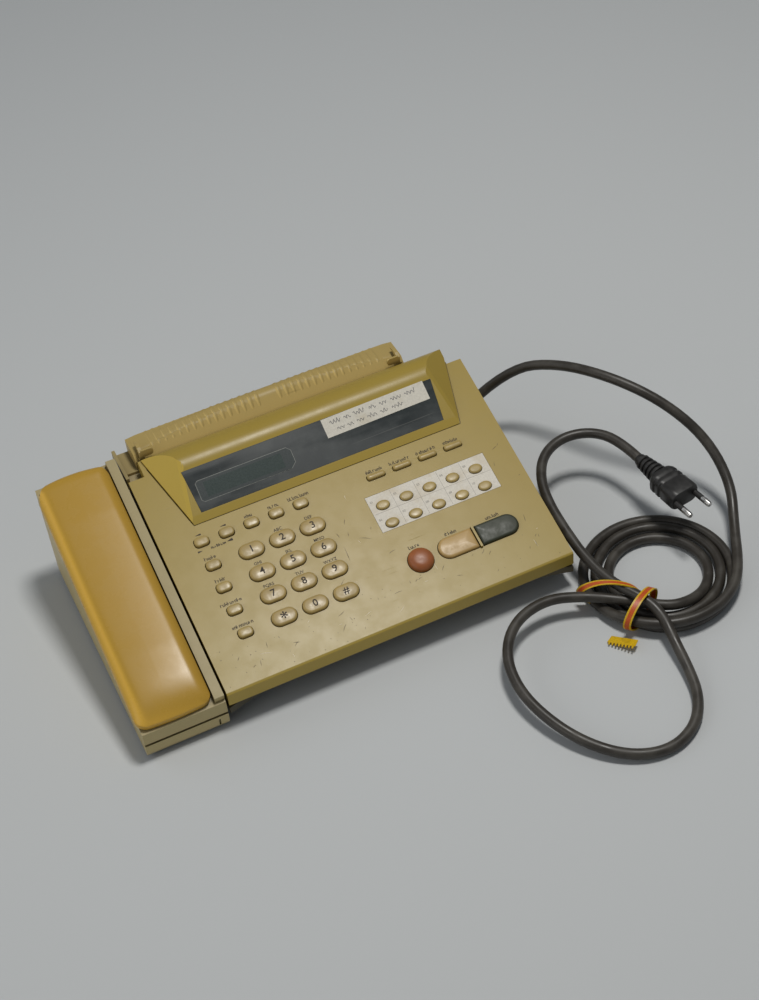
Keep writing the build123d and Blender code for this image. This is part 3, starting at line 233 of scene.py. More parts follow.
def aged_plastic(name, colour, yellowed, gloss=0.42, grain=1.0, wear=1.0, painted_sheen_y=None, painted_shade_y=None):
    """Yellowed moulded plastic with blotches, darker crevices, scratches and rubbed edges.

    Faces turned left and to the front are painted lighter, as painted light. A painted sheen makes the
    colour paler and bluer towards the first of the sheen places along Y, and a painted shade under the
    front lip darkens it towards the first of the shade places.
    """
    look = Surface(name)
    base = look.blots(colour, yellowed, (7.0, 3.0), 0.36, 0.68, 0.22)
    mottle = look.noise(70.0, 6.0, 0.6)
    base = look.mix(look.step(mottle, 0.35, 0.75, 0.0, 0.10), base, shade(colour, 0.72))
    # Painted sheen: the colour turns paler and bluer along Y towards the front edge, in place of the lamp's
    # reflection.
    if painted_sheen_y:
        uneven = look.math("MULTIPLY", look.noise(9.0, 4.0), 0.03)
        ragged = look.math("ADD", look.axis("Y"), uneven)
        paler = look.step(ragged, painted_sheen_y[0], painted_sheen_y[1], 0.45, 0.0)
        base = look.mix(paler, base, (colour[0] * 1.12, colour[1] * 1.20, colour[2] * 1.9))
    # Painted light: faces turned left and to the front are coloured lighter, as if lit from there.
    facing = look.add("ShaderNodeTexCoord").outputs["Normal"]
    to_left = look.math("MULTIPLY", look.axis("X", facing), -1.0)
    to_front = look.math("MULTIPLY", look.axis("Y", facing), -0.6)
    painted_left_light = look.math("ADD", to_left, to_front)
    base = look.mix(look.step(painted_left_light, 0.28, 0.60, 0.0, 0.55), base, shade(colour, 1.9))
    # Painted shade: the colour turns near-black along Y towards the front, where the lip shades the base.
    if painted_shade_y:
        painted_shade = look.step(look.axis("Y"), painted_shade_y[0], painted_shade_y[1], 0.85, 0.0)
        base = look.mix(painted_shade, base, (0.030, 0.029, 0.020))
    base = look.blots(base, shade(colour, 0.30), (420.0, 4.0, 0.7), 0.685, 0.76, 0.4 * wear)
    patches = look.step(look.noise(23.0, 2.0), 0.50, 0.62)
    scratches = None
    for turn, offset in ((0.5, 1.0), (-0.9, 1.7), (1.35, 0.6)):
        lines = look.noise(16.0 * offset, 2.0, 0.4, (1.0, 30.0, 1.0), (0.0, 0.0, turn))
        lines = look.step(lines, 0.745, 0.770)
        scratches = lines if scratches is None else look.math("MAXIMUM", scratches, lines)
    scratches = look.math("MULTIPLY", scratches, patches)
    base = look.mix(look.math("MULTIPLY", scratches, 0.28 * wear), base, shade(colour, 0.42))
    edge = look.step(look.crevices(0.5 * MM, inside=True), 0.35, 0.75, 1.0, 0.0)
    rubbed = look.math("MULTIPLY", edge, look.step(look.noise(60.0, 5.0), 0.42, 0.62))
    base = look.mix(look.math("MULTIPLY", rubbed, 0.35 * wear), base, shade(yellowed, 1.15))
    # Darker colour in crevices, where ambient occlusion finds them.
    crevice_colour = shade((colour[0], colour[1] * 0.9, colour[2] * 0.7), 0.20)
    base = look.crevice_darkening(base, crevice_colour, 5.0 * MM, 0.25, 0.85, 0.75)
    roughness = look.step(mottle, 0.3, 0.7, gloss - 0.015, gloss + 0.03)
    fine = look.noise(1500.0, 2.0, 0.6)
    normal = look.bump(fine, 0.22 * grain, 0.12 * MM)
    normal = look.bump(look.noise(160.0, 3.0), 0.05, 0.25 * MM, normal)
    normal = look.bump(look.math("SUBTRACT", 1.0, scratches), 0.30 * wear, 0.12 * MM, normal)
    return look.finish(base, roughness, normal, IOR=1.5, Specular_IOR_Level=0.3)


def plain_part(name, colour, roughness, metallic=0.0, scale=300.0):
    """Simple finish of a hidden piece: slight mottling, wear and a fine look."""
    look = Surface(name)
    mottle = look.noise(scale, 5.0, 0.6)
    base = look.mix(look.step(mottle, 0.3, 0.7), shade(colour, 0.78), shade(colour, 1.12))
    base = look.crevice_darkening(base, shade(colour, 0.3), 3.0 * MM, 0.2, 0.8, 0.6)
    rough = look.step(mottle, 0.3, 0.7, roughness - 0.06, roughness + 0.08)
    normal = look.bump(look.noise(scale * 4, 3.0), 0.10, 0.1 * MM)
    return look.finish(base, rough, normal, Metallic=metallic)


def set_material(node, material):
    for slot in nodes[node].material_slots:
        slot.material = material


# ---- power cord: its route in millimetres, as the CAD solids lie ----
CORD_DIAMETER = 8.2 * MM
CORD_TIP = (191.5, 74.0, 41.8)
FAR_ARC = [
    (220.3, 70.4, 63.0), (247.0, 38.0, 80.0), (272.0, -4.0, 86.0), (299.0, -38.0, 74.0),
    (320.0, -68.0, 50.0), (322.0, -102.0, 28.0), (306.0, -132.0, 16.0),
]
LOWER_LOOP = [
    (194.0, -155.0, 15.0), (168.0, -139.0, 17.5), (140.0, -131.0, 21.0), (110.0, -139.0, 21.0),
    (90.0, -162.0, 19.0), (84.0, -193.0, 16.0), (91.0, -225.0, 12.5), (106.0, -254.0, 9.0),
    (129.0, -276.0, 6.0), (157.0, -284.0, 4.6), (183.0, -274.0, 4.6), (199.0, -253.0, 5.2),
    (205.0, -228.0, 7.5), (208.0, -202.0, 12.5), (210.0, -185.0, 18.0),
]
PLUG_LEAD = [
    (206.0, -168.0, 22.0), (191.0, -142.0, 23.0), (185.0, -112.0, 26.0), (184.0, -83.0, 31.0),
    (185.0, -57.0, 35.0), (190.0, -34.0, 39.0), (203.0, -14.0, 42.0), (225.0, -5.0, 44.0),
    (248.0, -12.0, 45.5), (262.0, -32.0, 46.0), (266.0, -58.0, 44.0),
]
COIL_CENTRE = Vector((236.0, -136.0))
COIL_START, COIL_END, COIL_STEP = -32.0, -1192.0, 22.5
COIL_WIDENED_X = 1.02
# Places of the coil's cross-section: degrees turned, radius and height of the strand.
COIL_SLOTS = [
    (0, 59.5, 13.2), (90, 59.0, 12.6), (160, 57.5, 4.5), (300, 56.0, 4.4), (430, 57.0, 4.4),
    (520, 47.5, 4.5), (640, 48.5, 4.4), (790, 46.5, 4.4), (880, 38.0, 4.5), (1000, 36.5, 4.5),
    (1085, 38.0, 5.0), (1160, 42.0, 13.0),
]


def coil_points():
    """Turns of the coil, clockwise from above, sliding between places of its cross-section."""
    points = []
    steps = round((COIL_START - COIL_END) / COIL_STEP)
    for step in range(steps + 1):
        turned = (COIL_START - COIL_END) * step / steps
        for (t0, r0, z0), (t1, r1, z1) in zip(COIL_SLOTS, COIL_SLOTS[1:]):
            if t0 <= turned <= t1:
                part = (turned - t0) / (t1 - t0)
                part = part * part * (3 - 2 * part)
                radius, height = r0 + (r1 - r0) * part, z0 + (z1 - z0) * part
        angle = math.radians(COIL_START - turned)
        x = COIL_CENTRE.x + radius * math.cos(angle) * COIL_WIDENED_X
        y = COIL_CENTRE.y + radius * math.sin(angle)
        points.append((x, y, height))
    return points


def rubber_material():
    """Dark rubber with dust and pale scuffs."""
    look = Surface("cord_sheath")
    colour = (0.034, 0.029, 0.023)
    dusty = (0.088, 0.080, 0.066)
    base = look.blots(colour, dusty, (45.0, 5.0, 0.6), 0.42, 0.70, 0.55)
    base = look.blots(base, (0.17, 0.155, 0.14), (380.0, 4.0, 0.7), 0.66, 0.74, 0.6)
    roughness = look.step(look.noise(90.0, 4.0), 0.3, 0.7, 0.34, 0.52)
    normal = look.bump(look.noise(900.0, 3.0), 0.12, 0.15 * MM)
    normal = look.bump(look.noise(130.0, 2.0), 0.16, 0.5 * MM, normal)
    return look.finish(base, roughness, normal, IOR=1.5)


def make_cord(material):
    """The whole cord as one spline: far arc, coil, lower loop, and the lead to the plug."""
    route = [CORD_TIP, *FAR_ARC, *coil_points(), *LOWER_LOOP, *PLUG_LEAD]
    curve = bpy.data.curves.new("power_cord_sheath", "CURVE")
    curve.dimensions = "3D"
    curve.bevel_depth = CORD_DIAMETER / 2
    curve.bevel_resolution = 5
    curve.resolution_u = 6
    curve.use_fill_caps = True
    spline = curve.splines.new("NURBS")
    spline.points.add(len(route) - 1)
    for point, place in zip(spline.points, route):
        point.co = (*(Vector(place) * MM), 1.0)
    spline.order_u = 3
    spline.use_endpoint_u = True
    curve.materials.append(material)
    return link("power_cord_sheath", curve)


# ---- mesh building ----
UP = Vector((0, 0, 1))
GLYPH_BOLDNESS = 0.014
INK_LIFT = 0.03


def grid_faces(rows, columns, closed=False):
    """Quads between rows of equally many points, going right round if closed."""
    faces = []
    for row in range(rows - 1):
        below, above = row * columns, (row + 1) * columns
        for i in range(columns if closed else columns - 1):
            j = (i + 1) % columns
            faces.append((below + i, below + j, above + j, above + i))
    return faces


class Shape:
    """Vertices in metres and faces gathered for one piece, each face with a material index."""

    def __init__(self):
        self.vertices, self.faces, self.indices = [], [], []

    def add(self, vertices, faces, index=0):
        start = len(self.vertices)
        self.vertices += [Vector(vertex) for vertex in vertices]
        self.faces += [tuple(start + corner for corner in face) for face in faces]
        self.indices += [index] * len(faces)

    def sheet(self, rows, index=0):
        """Open skin over rows of equally many points."""
        self.add([point for row in rows for point in row], grid_faces(len(rows), len(rows[0])), index)

    def rings(self, rings, index=0, top=True):
        """Closed skin over rings of equally many points, capped on the first ring, and the last if top."""
        count = len(rings[0])
        faces = grid_faces(len(rings), count, True)
        faces.append(tuple(range(count - 1, -1, -1)))
        if top:
            faces.append(tuple((len(rings) - 1) * count + i for i in range(count)))
        self.add([point for ring in rings for point in ring], faces, index)

    def build(self, name, materials, smooth_angle=40.0):
        """The piece, smooth-shaded where faces meet at less than smooth_angle degrees."""
        mesh = bpy.data.meshes.new(name)
        mesh.from_pydata([tuple(vertex) for vertex in self.vertices], [], self.faces)
        for material in materials:
            mesh.materials.append(material)
        for polygon, index in zip(mesh.polygons, self.indices):
            polygon.material_index = index
        piece = link(name, mesh)
        work = bmesh.new()
        work.from_mesh(mesh)
        limit = math.radians(smooth_angle)
        for face in work.faces:
            face.smooth = True
        for edge in work.edges:
            edge.smooth = len(edge.link_faces) != 2 or edge.calc_face_angle(0.0) < limit
        work.to_mesh(mesh)
        work.free()
        return piece


def outline(x0, x1, s0, s1, radii, inset=0.0, steps=7):
    """Rounded rectangle, anticlockwise, with its radii from the top right corner on."""
    x0, x1, s0, s1 = x0 + inset, x1 - inset, s0 + inset, s1 - inset
    largest = min(x1 - x0, s1 - s0) / 2 - 0.01
    corners = ((x1, s1, -1, -1, 0), (x0, s1, 1, -1, 90), (x0, s0, 1, 1, 180), (x1, s0, -1, 1, 270))
    points = []
    for (x, s, to_x, to_s, start), radius in zip(corners, radii):
        radius = max(min(radius - inset, largest), 0.02)
        for step in range(steps + 1):
            angle = math.radians(start + 90 * step / steps)
            across = x + to_x * radius + radius * math.cos(angle)
            along = s + to_s * radius + radius * math.sin(angle)
            points.append((across, along))
    return points


def oval(x, s, half_x, half_s, steps):
    """Ellipse about a point, anticlockwise."""
    turns = [2 * math.pi * step / steps for step in range(steps)]
    return [(x + half_x * math.cos(turn), s + half_s * math.sin(turn)) for turn in turns]


def turned(shape, profile, origin, axis, index=0, steps=28):
    """Surface of revolution from (radius, distance) pairs about an axis, in millimetres."""
    axis = Vector(axis).normalized()
    side = (UP - axis * UP.dot(axis)).normalized()
    other = axis.cross(side)
    rings = []
    for radius, distance in profile:
        ring = []
        for step in range(steps):
            angle = 2 * math.pi * step / steps
            offset = side * math.cos(angle) * radius + other * math.sin(angle) * radius
            ring.append((Vector(origin) + axis * distance + offset) * MM)
        rings.append(ring)
    shape.rings(rings, index)


def glyphs(text, size):
    """Flat outline mesh of a few characters, centred, in millimetres."""
    curve = bpy.data.curves.new("glyphs", "FONT")
    curve.body = text
    curve.size = size
    curve.resolution_u = 3
    curve.offset = size * GLYPH_BOLDNESS
    curve.align_x = "CENTER"
    curve.align_y = "CENTER"
    holder = link("glyphs", curve)
    bpy.context.view_layer.update()
    mesh = bpy.data.meshes.new_from_object(holder.evaluated_get(bpy.context.evaluated_depsgraph_get()))
    points = [(vertex.co.x, vertex.co.y) for vertex in mesh.vertices]
    faces = [tuple(polygon.vertices) for polygon in mesh.polygons]
    bpy.data.objects.remove(holder)
    bpy.data.curves.remove(curve)
    bpy.data.meshes.remove(mesh)
    return points, faces


def print_text(shape, text, size, x, s, h, index=0):
    points, faces = glyphs(text, size)
    shape.add([on_panel(x + px, s + ps, h) for px, ps in points], faces, index)


def stroke(shape, points, width, h, index=0, place=on_panel):
    """Thin flat line through points, as wide as width says: one number, or one for each point."""
    vertices, faces = [], []
    last = len(points) - 1
    for i, (x, s) in enumerate(points):
        before, after = points[max(i - 1, 0)], points[min(i + 1, last)]
        run = Vector((after[0] - before[0], after[1] - before[1])).normalized()
        half = (width[i] if isinstance(width, list) else width) / 2
        vertices.append(place(x - run.y * half, s + run.x * half, h))
        vertices.append(place(x + run.y * half, s - run.x * half, h))
        if i:
            faces.append((2 * i - 2, 2 * i - 1, 2 * i + 1, 2 * i))
    shape.add(vertices, faces, index)


def word(shape, x, s, length, height):
    """Row of letter-like marks that spell nothing."""
    at = x - length / 2
    low = s - height / 2
    while at < x + length / 2:
        tall = height if random.random() < 0.28 else height * 0.68
        stroke(shape, [(at, low), (at, low + tall)], 0.52, INK_LIFT)
        if random.random() < 0.75:
            far = at + height * 0.38
            bar = low + random.choice((0.0, height * 0.34, height * 0.62)) + 0.12
            stroke(shape, [(at, bar), (far, bar)], 0.46, INK_LIFT)
            if random.random() < 0.6:
                stroke(shape, [(far, low), (far, low + height * 0.66)], 0.48, INK_LIFT)
            at = far
        at += height * random.uniform(0.22, 0.34)


# ---- keys ----
DIGIT_LETTERS = {
    "2": "ABC", "3": "DEF", "4": "GHI", "5": "JKL", "6": "MNO", "7": "PQRS", "8": "TUV", "9": "WXYZ",
}
KEY_FLANGE = 1.2
CAP_DEPTH = 2.4
# Profiles of the caps, from the side up to the top. Shoulder: inset and height below the top.
CAP_SHOULDER = [(0.0, -1.9), (0.05, -1.25), (0.25, -0.72), (0.62, -0.33), (1.15, -0.10), (1.8, 0.0)]
# Stop key: part of the radius and height, for a dome of STOP_DOME.
STOP_DOME = 5.85
STOP_PROFILE = [
    (1.0, -2.4), (1.0, 1.0), (0.985, 2.0), (0.93, 3.1), (0.84, 4.1), (0.70, 4.95), (0.52, 5.45),
    (0.30, 5.75), (0.1, STOP_DOME),
]
# One-touch keys: inset and height.
OVAL_HALF_X, OVAL_HALF_S = 5.3, 3.9
OVAL_PROFILE = [
    (0.0, -2.4), (0.0, 0.9), (0.12, 1.25), (0.4, 1.55), (0.9, 1.75), (1.7, 1.86), (2.8, 1.92), (3.7, 1.94),
]


def finish_piece(piece, body, replaces=()):
    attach(piece, body)
    if replaces:
        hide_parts(*replaces)


def cap_box(node):
    """Plan of a key's cap, from the CAD node's box less its flange."""
    low, high = panel_box(node)
    return low[0] + KEY_FLANGE, high[0] - KEY_FLANGE, low[1] + KEY_FLANGE, high[1] - KEY_FLANGE


def cap_rise(node):
    return panel_box(node)[1][2]


def middle_of(box):
    return (box[0] + box[1]) / 2, (box[2] + box[3]) / 2


def key_cap(shape, box, radii, rise, crown, reach):
    """Moulded cap: straight sides, a rounded shoulder and a slightly crowned top."""
    rings = []
    for inset, drop in [(0.0, -CAP_DEPTH - rise), *CAP_SHOULDER]:
        rings.append([on_panel(x, s, rise + drop) for x, s in outline(*box, radii, inset * reach)])
    deepest = min(box[1] - box[0], box[3] - box[2]) / 2
    start = CAP_SHOULDER[-1][0] * reach
    for part in (0.3, 0.6, 0.85):
        inset = start + (deepest - start - 0.05) * part
        h = rise + crown * math.sin(part * math.pi / 2)
        rings.append([on_panel(x, s, h) for x, s in outline(*box, radii, inset)])
    shape.rings(rings)


def make_number_key(name, digit, materials):
    """Digit key with its printed character."""
    box, rise = cap_box(name), cap_rise(name)
    shape = Shape()
    key_cap(shape, box, [(box[3] - box[2]) / 2] * 4, rise, 0.32, 1.15)
    x, s = middle_of(box)
    size, lower = (12.5, -1.9) if digit == "*" else (8.0, 0.1)
    print_text(shape, digit, size, x, s + lower, rise + 0.36, 1)
    piece = shape.build(name + "_cap", [materials["digit"], materials["ink"]])
    finish_piece(piece, name, [name])


def make_small_key(name, materials):
    """Key of the rows and column about the digits, or one of the slim bars."""
    box = cap_box(name)
    slim = name in ("key_function", "key_verify", "key_index", "key_help")
    shape = Shape()
    radius = (box[3] - box[2]) / 2 * (0.9 if slim else 0.86)
    key_cap(shape, box, [radius] * 4, cap_rise(name), 0.15, 0.8)
    piece = shape.build(name + "_cap", [materials["small"], materials["ink"]])
    finish_piece(piece, name, [name])


def make_keys(materials):
    """Caps of all the single keys, each riding its own key body."""
    for name in [name for name in nodes if name.startswith("key_")]:
        label = name.removeprefix("key_")
        digit = {"star": "*", "hash": "#"}.get(label, label)
        if len(digit) == 1:
            make_number_key(name, digit, materials)
        else:
            make_small_key(name, materials)

    box, rise = cap_box("stop_key"), cap_rise("stop_key")
    radius = (box[1] - box[0]) / 2
    shape = Shape()
    rings = []
    for part, h in STOP_PROFILE:
        ring = oval(*middle_of(box), radius * part, radius * part, 40)
        rings.append([on_panel(x, s, h * rise / STOP_DOME) for x, s in ring])
    shape.rings(rings)
    finish_piece(shape.build("stop_key_cap", [materials["stop"]]), "stop_key", ["stop_key"])

    square = 0.5
    for name, slot in (("copy_key", "copy"), ("start_key", "start")):
        box = cap_box(name)
        end = (box[3] - box[2]) / 2
        radii = [square, end, end, square] if slot == "copy" else [end, square, square, end]
        shape = Shape()
        key_cap(shape, box, radii, cap_rise(name), 0.5, 1.3)
        finish_piece(shape.build(name + "_cap", [materials[slot]]), name, [name])


def make_one_touch(materials):
    """Ten oval keys on their comb; gives back their columns and rows."""
    low, high = panel_box("one_touch_keys")
    first = low[0] + KEY_FLANGE + OVAL_HALF_X
    spread = high[0] - low[0] - 2 * KEY_FLANGE - 2 * OVAL_HALF_X
    columns = [first + i * spread / 4 for i in range(5)]
    rows = [high[1] - KEY_FLANGE - OVAL_HALF_S, low[1] + KEY_FLANGE + OVAL_HALF_S]
    shape = Shape()
    for s in rows:
        for x in columns:
            rings = []
            for inset, h in OVAL_PROFILE:
                ring = oval(x, s, OVAL_HALF_X - inset, OVAL_HALF_S - inset, 32)
                rings.append([on_panel(px, ps, h) for px, ps in ring])
            shape.rings(rings)
        stroke(shape, [(columns[0], s), (columns[-1], s)], 2.4, -2.9)
    piece = shape.build("one_touch_caps", [materials["small"]])
    finish_piece(piece, "one_touch_keys", ["one_touch_keys"])
    return columns, rows


# ---- printed marks ----
CAPTION_LENGTHS = {
    "key_set": 6.0, "key_mode": 8.0, "key_resolution": 15.5, "key_hook": 8.5, "key_hold": 8.0,
    "key_redial": 17.0, "key_speed_dial": 15.0, "key_function": 12.5, "key_verify": 16.5, "key_index": 15.0,
    "key_help": 12.0, "stop_key": 8.0, "copy_key": 9.0, "start_key": 9.5,
}


def make_panel_print(ink):
    """Telephone letters above the digits, and illegible captions above the other keys."""
    random.seed(11)
    shape = Shape()
    for digit, letters in DIGIT_LETTERS.items():
        box = cap_box("key_" + digit)
        print_text(shape, letters, 3.6, middle_of(box)[0], box[3] + 2.2, INK_LIFT)
    for name, length in CAPTION_LENGTHS.items():
        box = cap_box(name)
        word(shape, middle_of(box)[0], box[3] + 3.0, length, 2.9)
    for name in ("key_volume_down", "key_volume_up"):
        box = cap_box(name)
        x, s = middle_of(box)[0], box[3] + 2.6
        stroke(shape, [(x - 2.4, s), (x + 2.0, s)], [0.3, 1.5], INK_LIFT)
    left, right, front, _ = cap_box("key_volume_down")
    s = front - 3.0
    word(shape, right + 4.5, s, 11.0, 2.3)
    stroke(shape, [(left, s), (left + 3.6, s)], [1.6, 0.3], INK_LIFT)
    stroke(shape, [(right + 12.0, s), (right + 16.5, s + 0.2)], [0.3, 2.4], INK_LIFT)
    finish_piece(shape.build("panel_print", [ink]), "cover")


def make_label_print(columns, rows, ink):
    """Cell lines and numbers on the card of the one-touch keys."""
    low, high = panel_box("one_touch_label")
    margin, line = 1.0, 0.22
    shape = Shape()
    h = high[2] + INK_LIFT
    middle = (low[1] + high[1]) / 2
    pitch = columns[1] - columns[0]
    for column in columns[1:]:
        x = column - pitch / 2
        stroke(shape, [(x, low[1] + margin), (x, high[1] - margin)], line, h)
    stroke(shape, [(low[0] + margin, middle), (high[0] - margin, middle)], line, h)
    for row, s in enumerate(rows):
        for column, x in enumerate(columns):
            print_text(shape, f"{row * 5 + column + 1:02d}", 2.6, x - 7.2, s + 5.4, h)
    finish_piece(shape.build("label_print", [ink]), "cover")


# ---- display window ----
WINDOW_FRONT_S, WINDOW_FRONT_H = 143.0, 2.2
WINDOW_ANGLE = math.atan2(10.0, 35.0)
VIEW_OUTLINE = [
    (46.0, 7.6), (118.0, 7.6), (122.5, 11.5), (122.5, 21.5), (119.5, 24.6), (46.0, 24.6), (44.2, 22.8),
    (44.2, 9.4),
]
GLASS_OUTLINE = [(50.0, 10.2), (114.0, 10.2), (114.0, 22.2), (50.0, 22.2)]
STICKER_X, STICKER_T = 153.5, 19.4
STICKER_LENGTH, STICKER_WIDTH, STICKER_SLANT = 88.0, 15.6, 0.012
SCRIBBLE_STEP = 0.55


def on_window(x, t, out=0.0):
    """Point of the display housing's sloping face: t up that face, out from it."""
    s = WINDOW_FRONT_S + t * math.cos(WINDOW_ANGLE) - out * math.sin(WINDOW_ANGLE)
    h = WINDOW_FRONT_H + t * math.sin(WINDOW_ANGLE) + out * math.cos(WINDOW_ANGLE)
    return on_panel(x, s, h)


def make_display_view(materials):
    """Outline of the display's view on the window, with the unlit glass inside it."""
    view = Shape()
    view.add([on_window(x, t, 0.02) for x, t in VIEW_OUTLINE], [tuple(range(len(VIEW_OUTLINE)))], 0)
    stroke(view, [*VIEW_OUTLINE, *VIEW_OUTLINE[:2]], 0.45, 0.05, 1, on_window)
    view.add([on_window(x, t, 0.04) for x, t in GLASS_OUTLINE], [(0, 1, 2, 3)], 2)
    piece = view.build("display_view", [materials["view"], materials["line"], materials["glass"]])
    finish_piece(piece, "cover")


def on_sticker(x, t, out=0.0):
    """Point of the sticker, which lifts in waves along its lower edge."""
    wave = max(0.0, 1.0 - t / 5.0) * (0.5 + 0.5 * math.sin(x * 0.13))
    lift = 0.10 + 0.16 * wave + out
    return on_window(STICKER_X + x - t * STICKER_SLANT, STICKER_T + t + x * STICKER_SLANT, lift)


def make_sticker(materials):
    """Paper sticker on the window, with two lines of a scribble."""
    random.seed(5)
    across, up = 26, 6
    sticker = Shape()
    sticker.sheet([
        [on_sticker(STICKER_LENGTH * i / across, STICKER_WIDTH * j / up) for i in range(across + 1)]
        for j in range(up + 1)
    ])
    for line_t, start, end in ((10.6, 6.0, 76.0), (4.4, 10.0, 62.0)):
        at = start
        while at < end:
            run = random.uniform(5.0, 12.0)
            points = []
            for step in range(int(run / SCRIBBLE_STEP)):
                wave = math.sin(step * 1.25 + random.uniform(-0.5, 0.5)) * 1.25
                tall = 1.5 if random.random() < 0.10 else 0.0
                points.append((at + step * SCRIBBLE_STEP, line_t + wave + tall))
            if len(points) > 3:
                stroke(sticker, points, 0.42, 0.04, 1, on_sticker)
            at += run + random.uniform(1.6, 3.2)
    finish_piece(sticker.build("window_sticker", [materials["paper"], materials["pen"]]), "cover")


# ---- scuffs ----
LONG_SCRATCHES = [
    (34.0, 20.0, 9.0, -0.1), (110.0, 45.0, 8.0, 0.9), (126.0, 62.0, 13.0, 1.5), (140.0, 77.0, 10.0, -0.3),
]
SHORT_SCRATCHES, SPECKS = 46, 70
SPECK_ANGLES = (0.3, 1.6, 2.9, 4.0, 5.3)


def make_scuffs(dark, light):
    """Scratches on the cover, dark and dirty or scraped pale, and specks near its front."""
    random.seed(21)
    shape = Shape()
    places = list(LONG_SCRATCHES)
    for number in range(SHORT_SCRATCHES):
        x, s = random.uniform(12.0, 272.0), random.uniform(6.0, 30.0)
        if number % 3 == 0:
            x = random.choice((random.uniform(120.0, 160.0), random.uniform(262.0, 276.0)))
            s = random.uniform(20.0, 112.0)
        places.append((x, s, random.uniform(1.5, 7.0), random.uniform(-0.4, 1.8)))
    for number, (x, s, length, angle) in enumerate(places):
        bend = random.uniform(-0.25, 0.25)
        points, widths = [], []
        for step in range(7):
            part = step / 6
            turn = angle + bend * part
            points.append((x + math.cos(turn) * length * part, s + math.sin(turn) * length * part))
            widths.append(0.04 + random.uniform(0.18, 0.42) * math.sin(part * math.pi))
        stroke(shape, points, widths, INK_LIFT, 0 if number % 4 else 1)
    for _ in range(SPECKS):
        x, s = random.uniform(4.0, 279.0), random.uniform(3.0, 34.0)
        size = random.uniform(0.12, 0.42)
        speck = []
        for turn in SPECK_ANGLES:
            along = size * random.uniform(0.5, 1.2) * math.sin(turn)
            speck.append(on_panel(x + size * math.cos(turn), s + along, INK_LIFT))
        shape.add(speck, [(0, 1, 2, 3, 4)])
    finish_piece(shape.build("panel_scuffs", [dark, light]), "cover")


# ---- handset ----
HANDSET_CORNERS = (12.0, 17.0, 9.0, 8.0)
HANDSET_EDGE, HANDSET_BOW, HANDSET_RAMP = 3.4, 3.4, 40.0
# How far each ring lies in from the outline towards the spine. The first one is the seat.
HANDSET_RINGS = (0.0, 0.0, 0.004, 0.012, 0.03, 0.06, 0.10, 0.15, 0.21, 0.28, 0.36, 0.46, 0.58, 0.72, 0.86)
SAME_PLACE = 1e-7


def bowed(part):
    """0 at both ends of a span and 1 in its middle."""
    return 1.0 - (2.0 * part - 1.0) ** 2


def rounded(part, power=2.5, root=0.5):
    """Rise from 0 to 1 over a rounded shoulder."""
    return (1.0 - (1.0 - min(1.0, max(0.0, part))) ** power) ** root


def denser(points, spacing):
    """The closed outline with more points along its longer sides."""
    dense = []
    for (ax, a_s), (bx, b_s) in zip(points, points[1:] + points[:1]):
        pieces = max(1, round(math.hypot(bx - ax, b_s - a_s) / spacing))
        dense += [(ax + (bx - ax) * i / pieces, a_s + (b_s - a_s) * i / pieces) for i in range(pieces)]
    return dense


def make_handset(material):
    """Back shell of the handset with softly crowned shoulders and a sloping front end."""
    (x0, s0, seat), (x1, s1, top) = panel_box("handset_back_shell")
    middle, half = (x0 + x1) / 2, (x1 - x0) / 2
    plan = denser(outline(x0, x1, s0, s1, HANDSET_CORNERS, 0.0, 10), 3.0)
    spine = [(middle, min(max(s, s0 + half), s1 - half)) for x, s in plan]

    def parts(x, s):
        return (x - x0) / (x1 - x0), (s - s0) / (s1 - s0)

    def height(x, s):
        across, along = parts(x, s)
        sides = min(rounded(min(x - x0, x1 - x) / 10.0), rounded((s1 - s) / 9.0))
        front = rounded((s - s0) / HANDSET_RAMP, 2.6, 0.55)
        edge = seat + HANDSET_EDGE
        dip = bowed(max(0.0, min(1.0, (along - 0.25) / 0.55)))
        crown = top - 0.9 + 0.9 * bowed(across) - 0.6 * dip
        return edge + (crown - edge) * sides * (0.10 + 0.90 * front)

    rings = []
    for number, level in enumerate(HANDSET_RINGS):
        ring = []
        for (x, s), (spine_x, spine_s) in zip(plan, spine):
            px, ps = x + (spine_x - x) * level, s + (spine_s - s) * level
            across, along = parts(px, ps)
            end = HANDSET_BOW * (1.0 - bowed(across)) * (1.0 if along > 0.5 else -0.4)
            end *= abs(2.0 * along - 1.0) ** 3
            ring.append(on_panel(px, ps - end, height(px, ps) if number else seat))
        rings.append(ring)
    shape = Shape()
    shape.rings(rings, top=False)

    ridge = [on_panel(x, s, height(x, s)) for x, s in spine]
    count, start = len(plan), len(shape.vertices)
    base = start - count
    faces = []
    for i in range(count):
        j = (i + 1) % count
        apart = (ridge[i] - ridge[j]).length > SAME_PLACE
        inner = (start + j, start + i) if apart else (start + i,)
        faces.append((base + i, base + j, *inner))
    shape.vertices += ridge
    shape.faces += faces
    shape.indices += [0] * len(faces)
    piece = shape.build("handset_shell", [material], 60.0)
    piece.modifiers.new("weld", "WELD").merge_threshold = 0.02 * MM
    finish_piece(piece, "handset", ["handset_back_shell"])


# ---- document support ----
SUPPORT_ARCH, FLUTE_MARGIN, FLUTE_COLUMNS = 7.0, 3.0, 360
# Distance back from the support's front, and height below its crown.
FLUTE_PROFILE = [
    (3.0, -9.2), (6.0, -5.4), (9.0, -2.0), (12.0, 0.0), (15.0, -0.2), (18.4, -1.0), (22.9, -5.6),
]


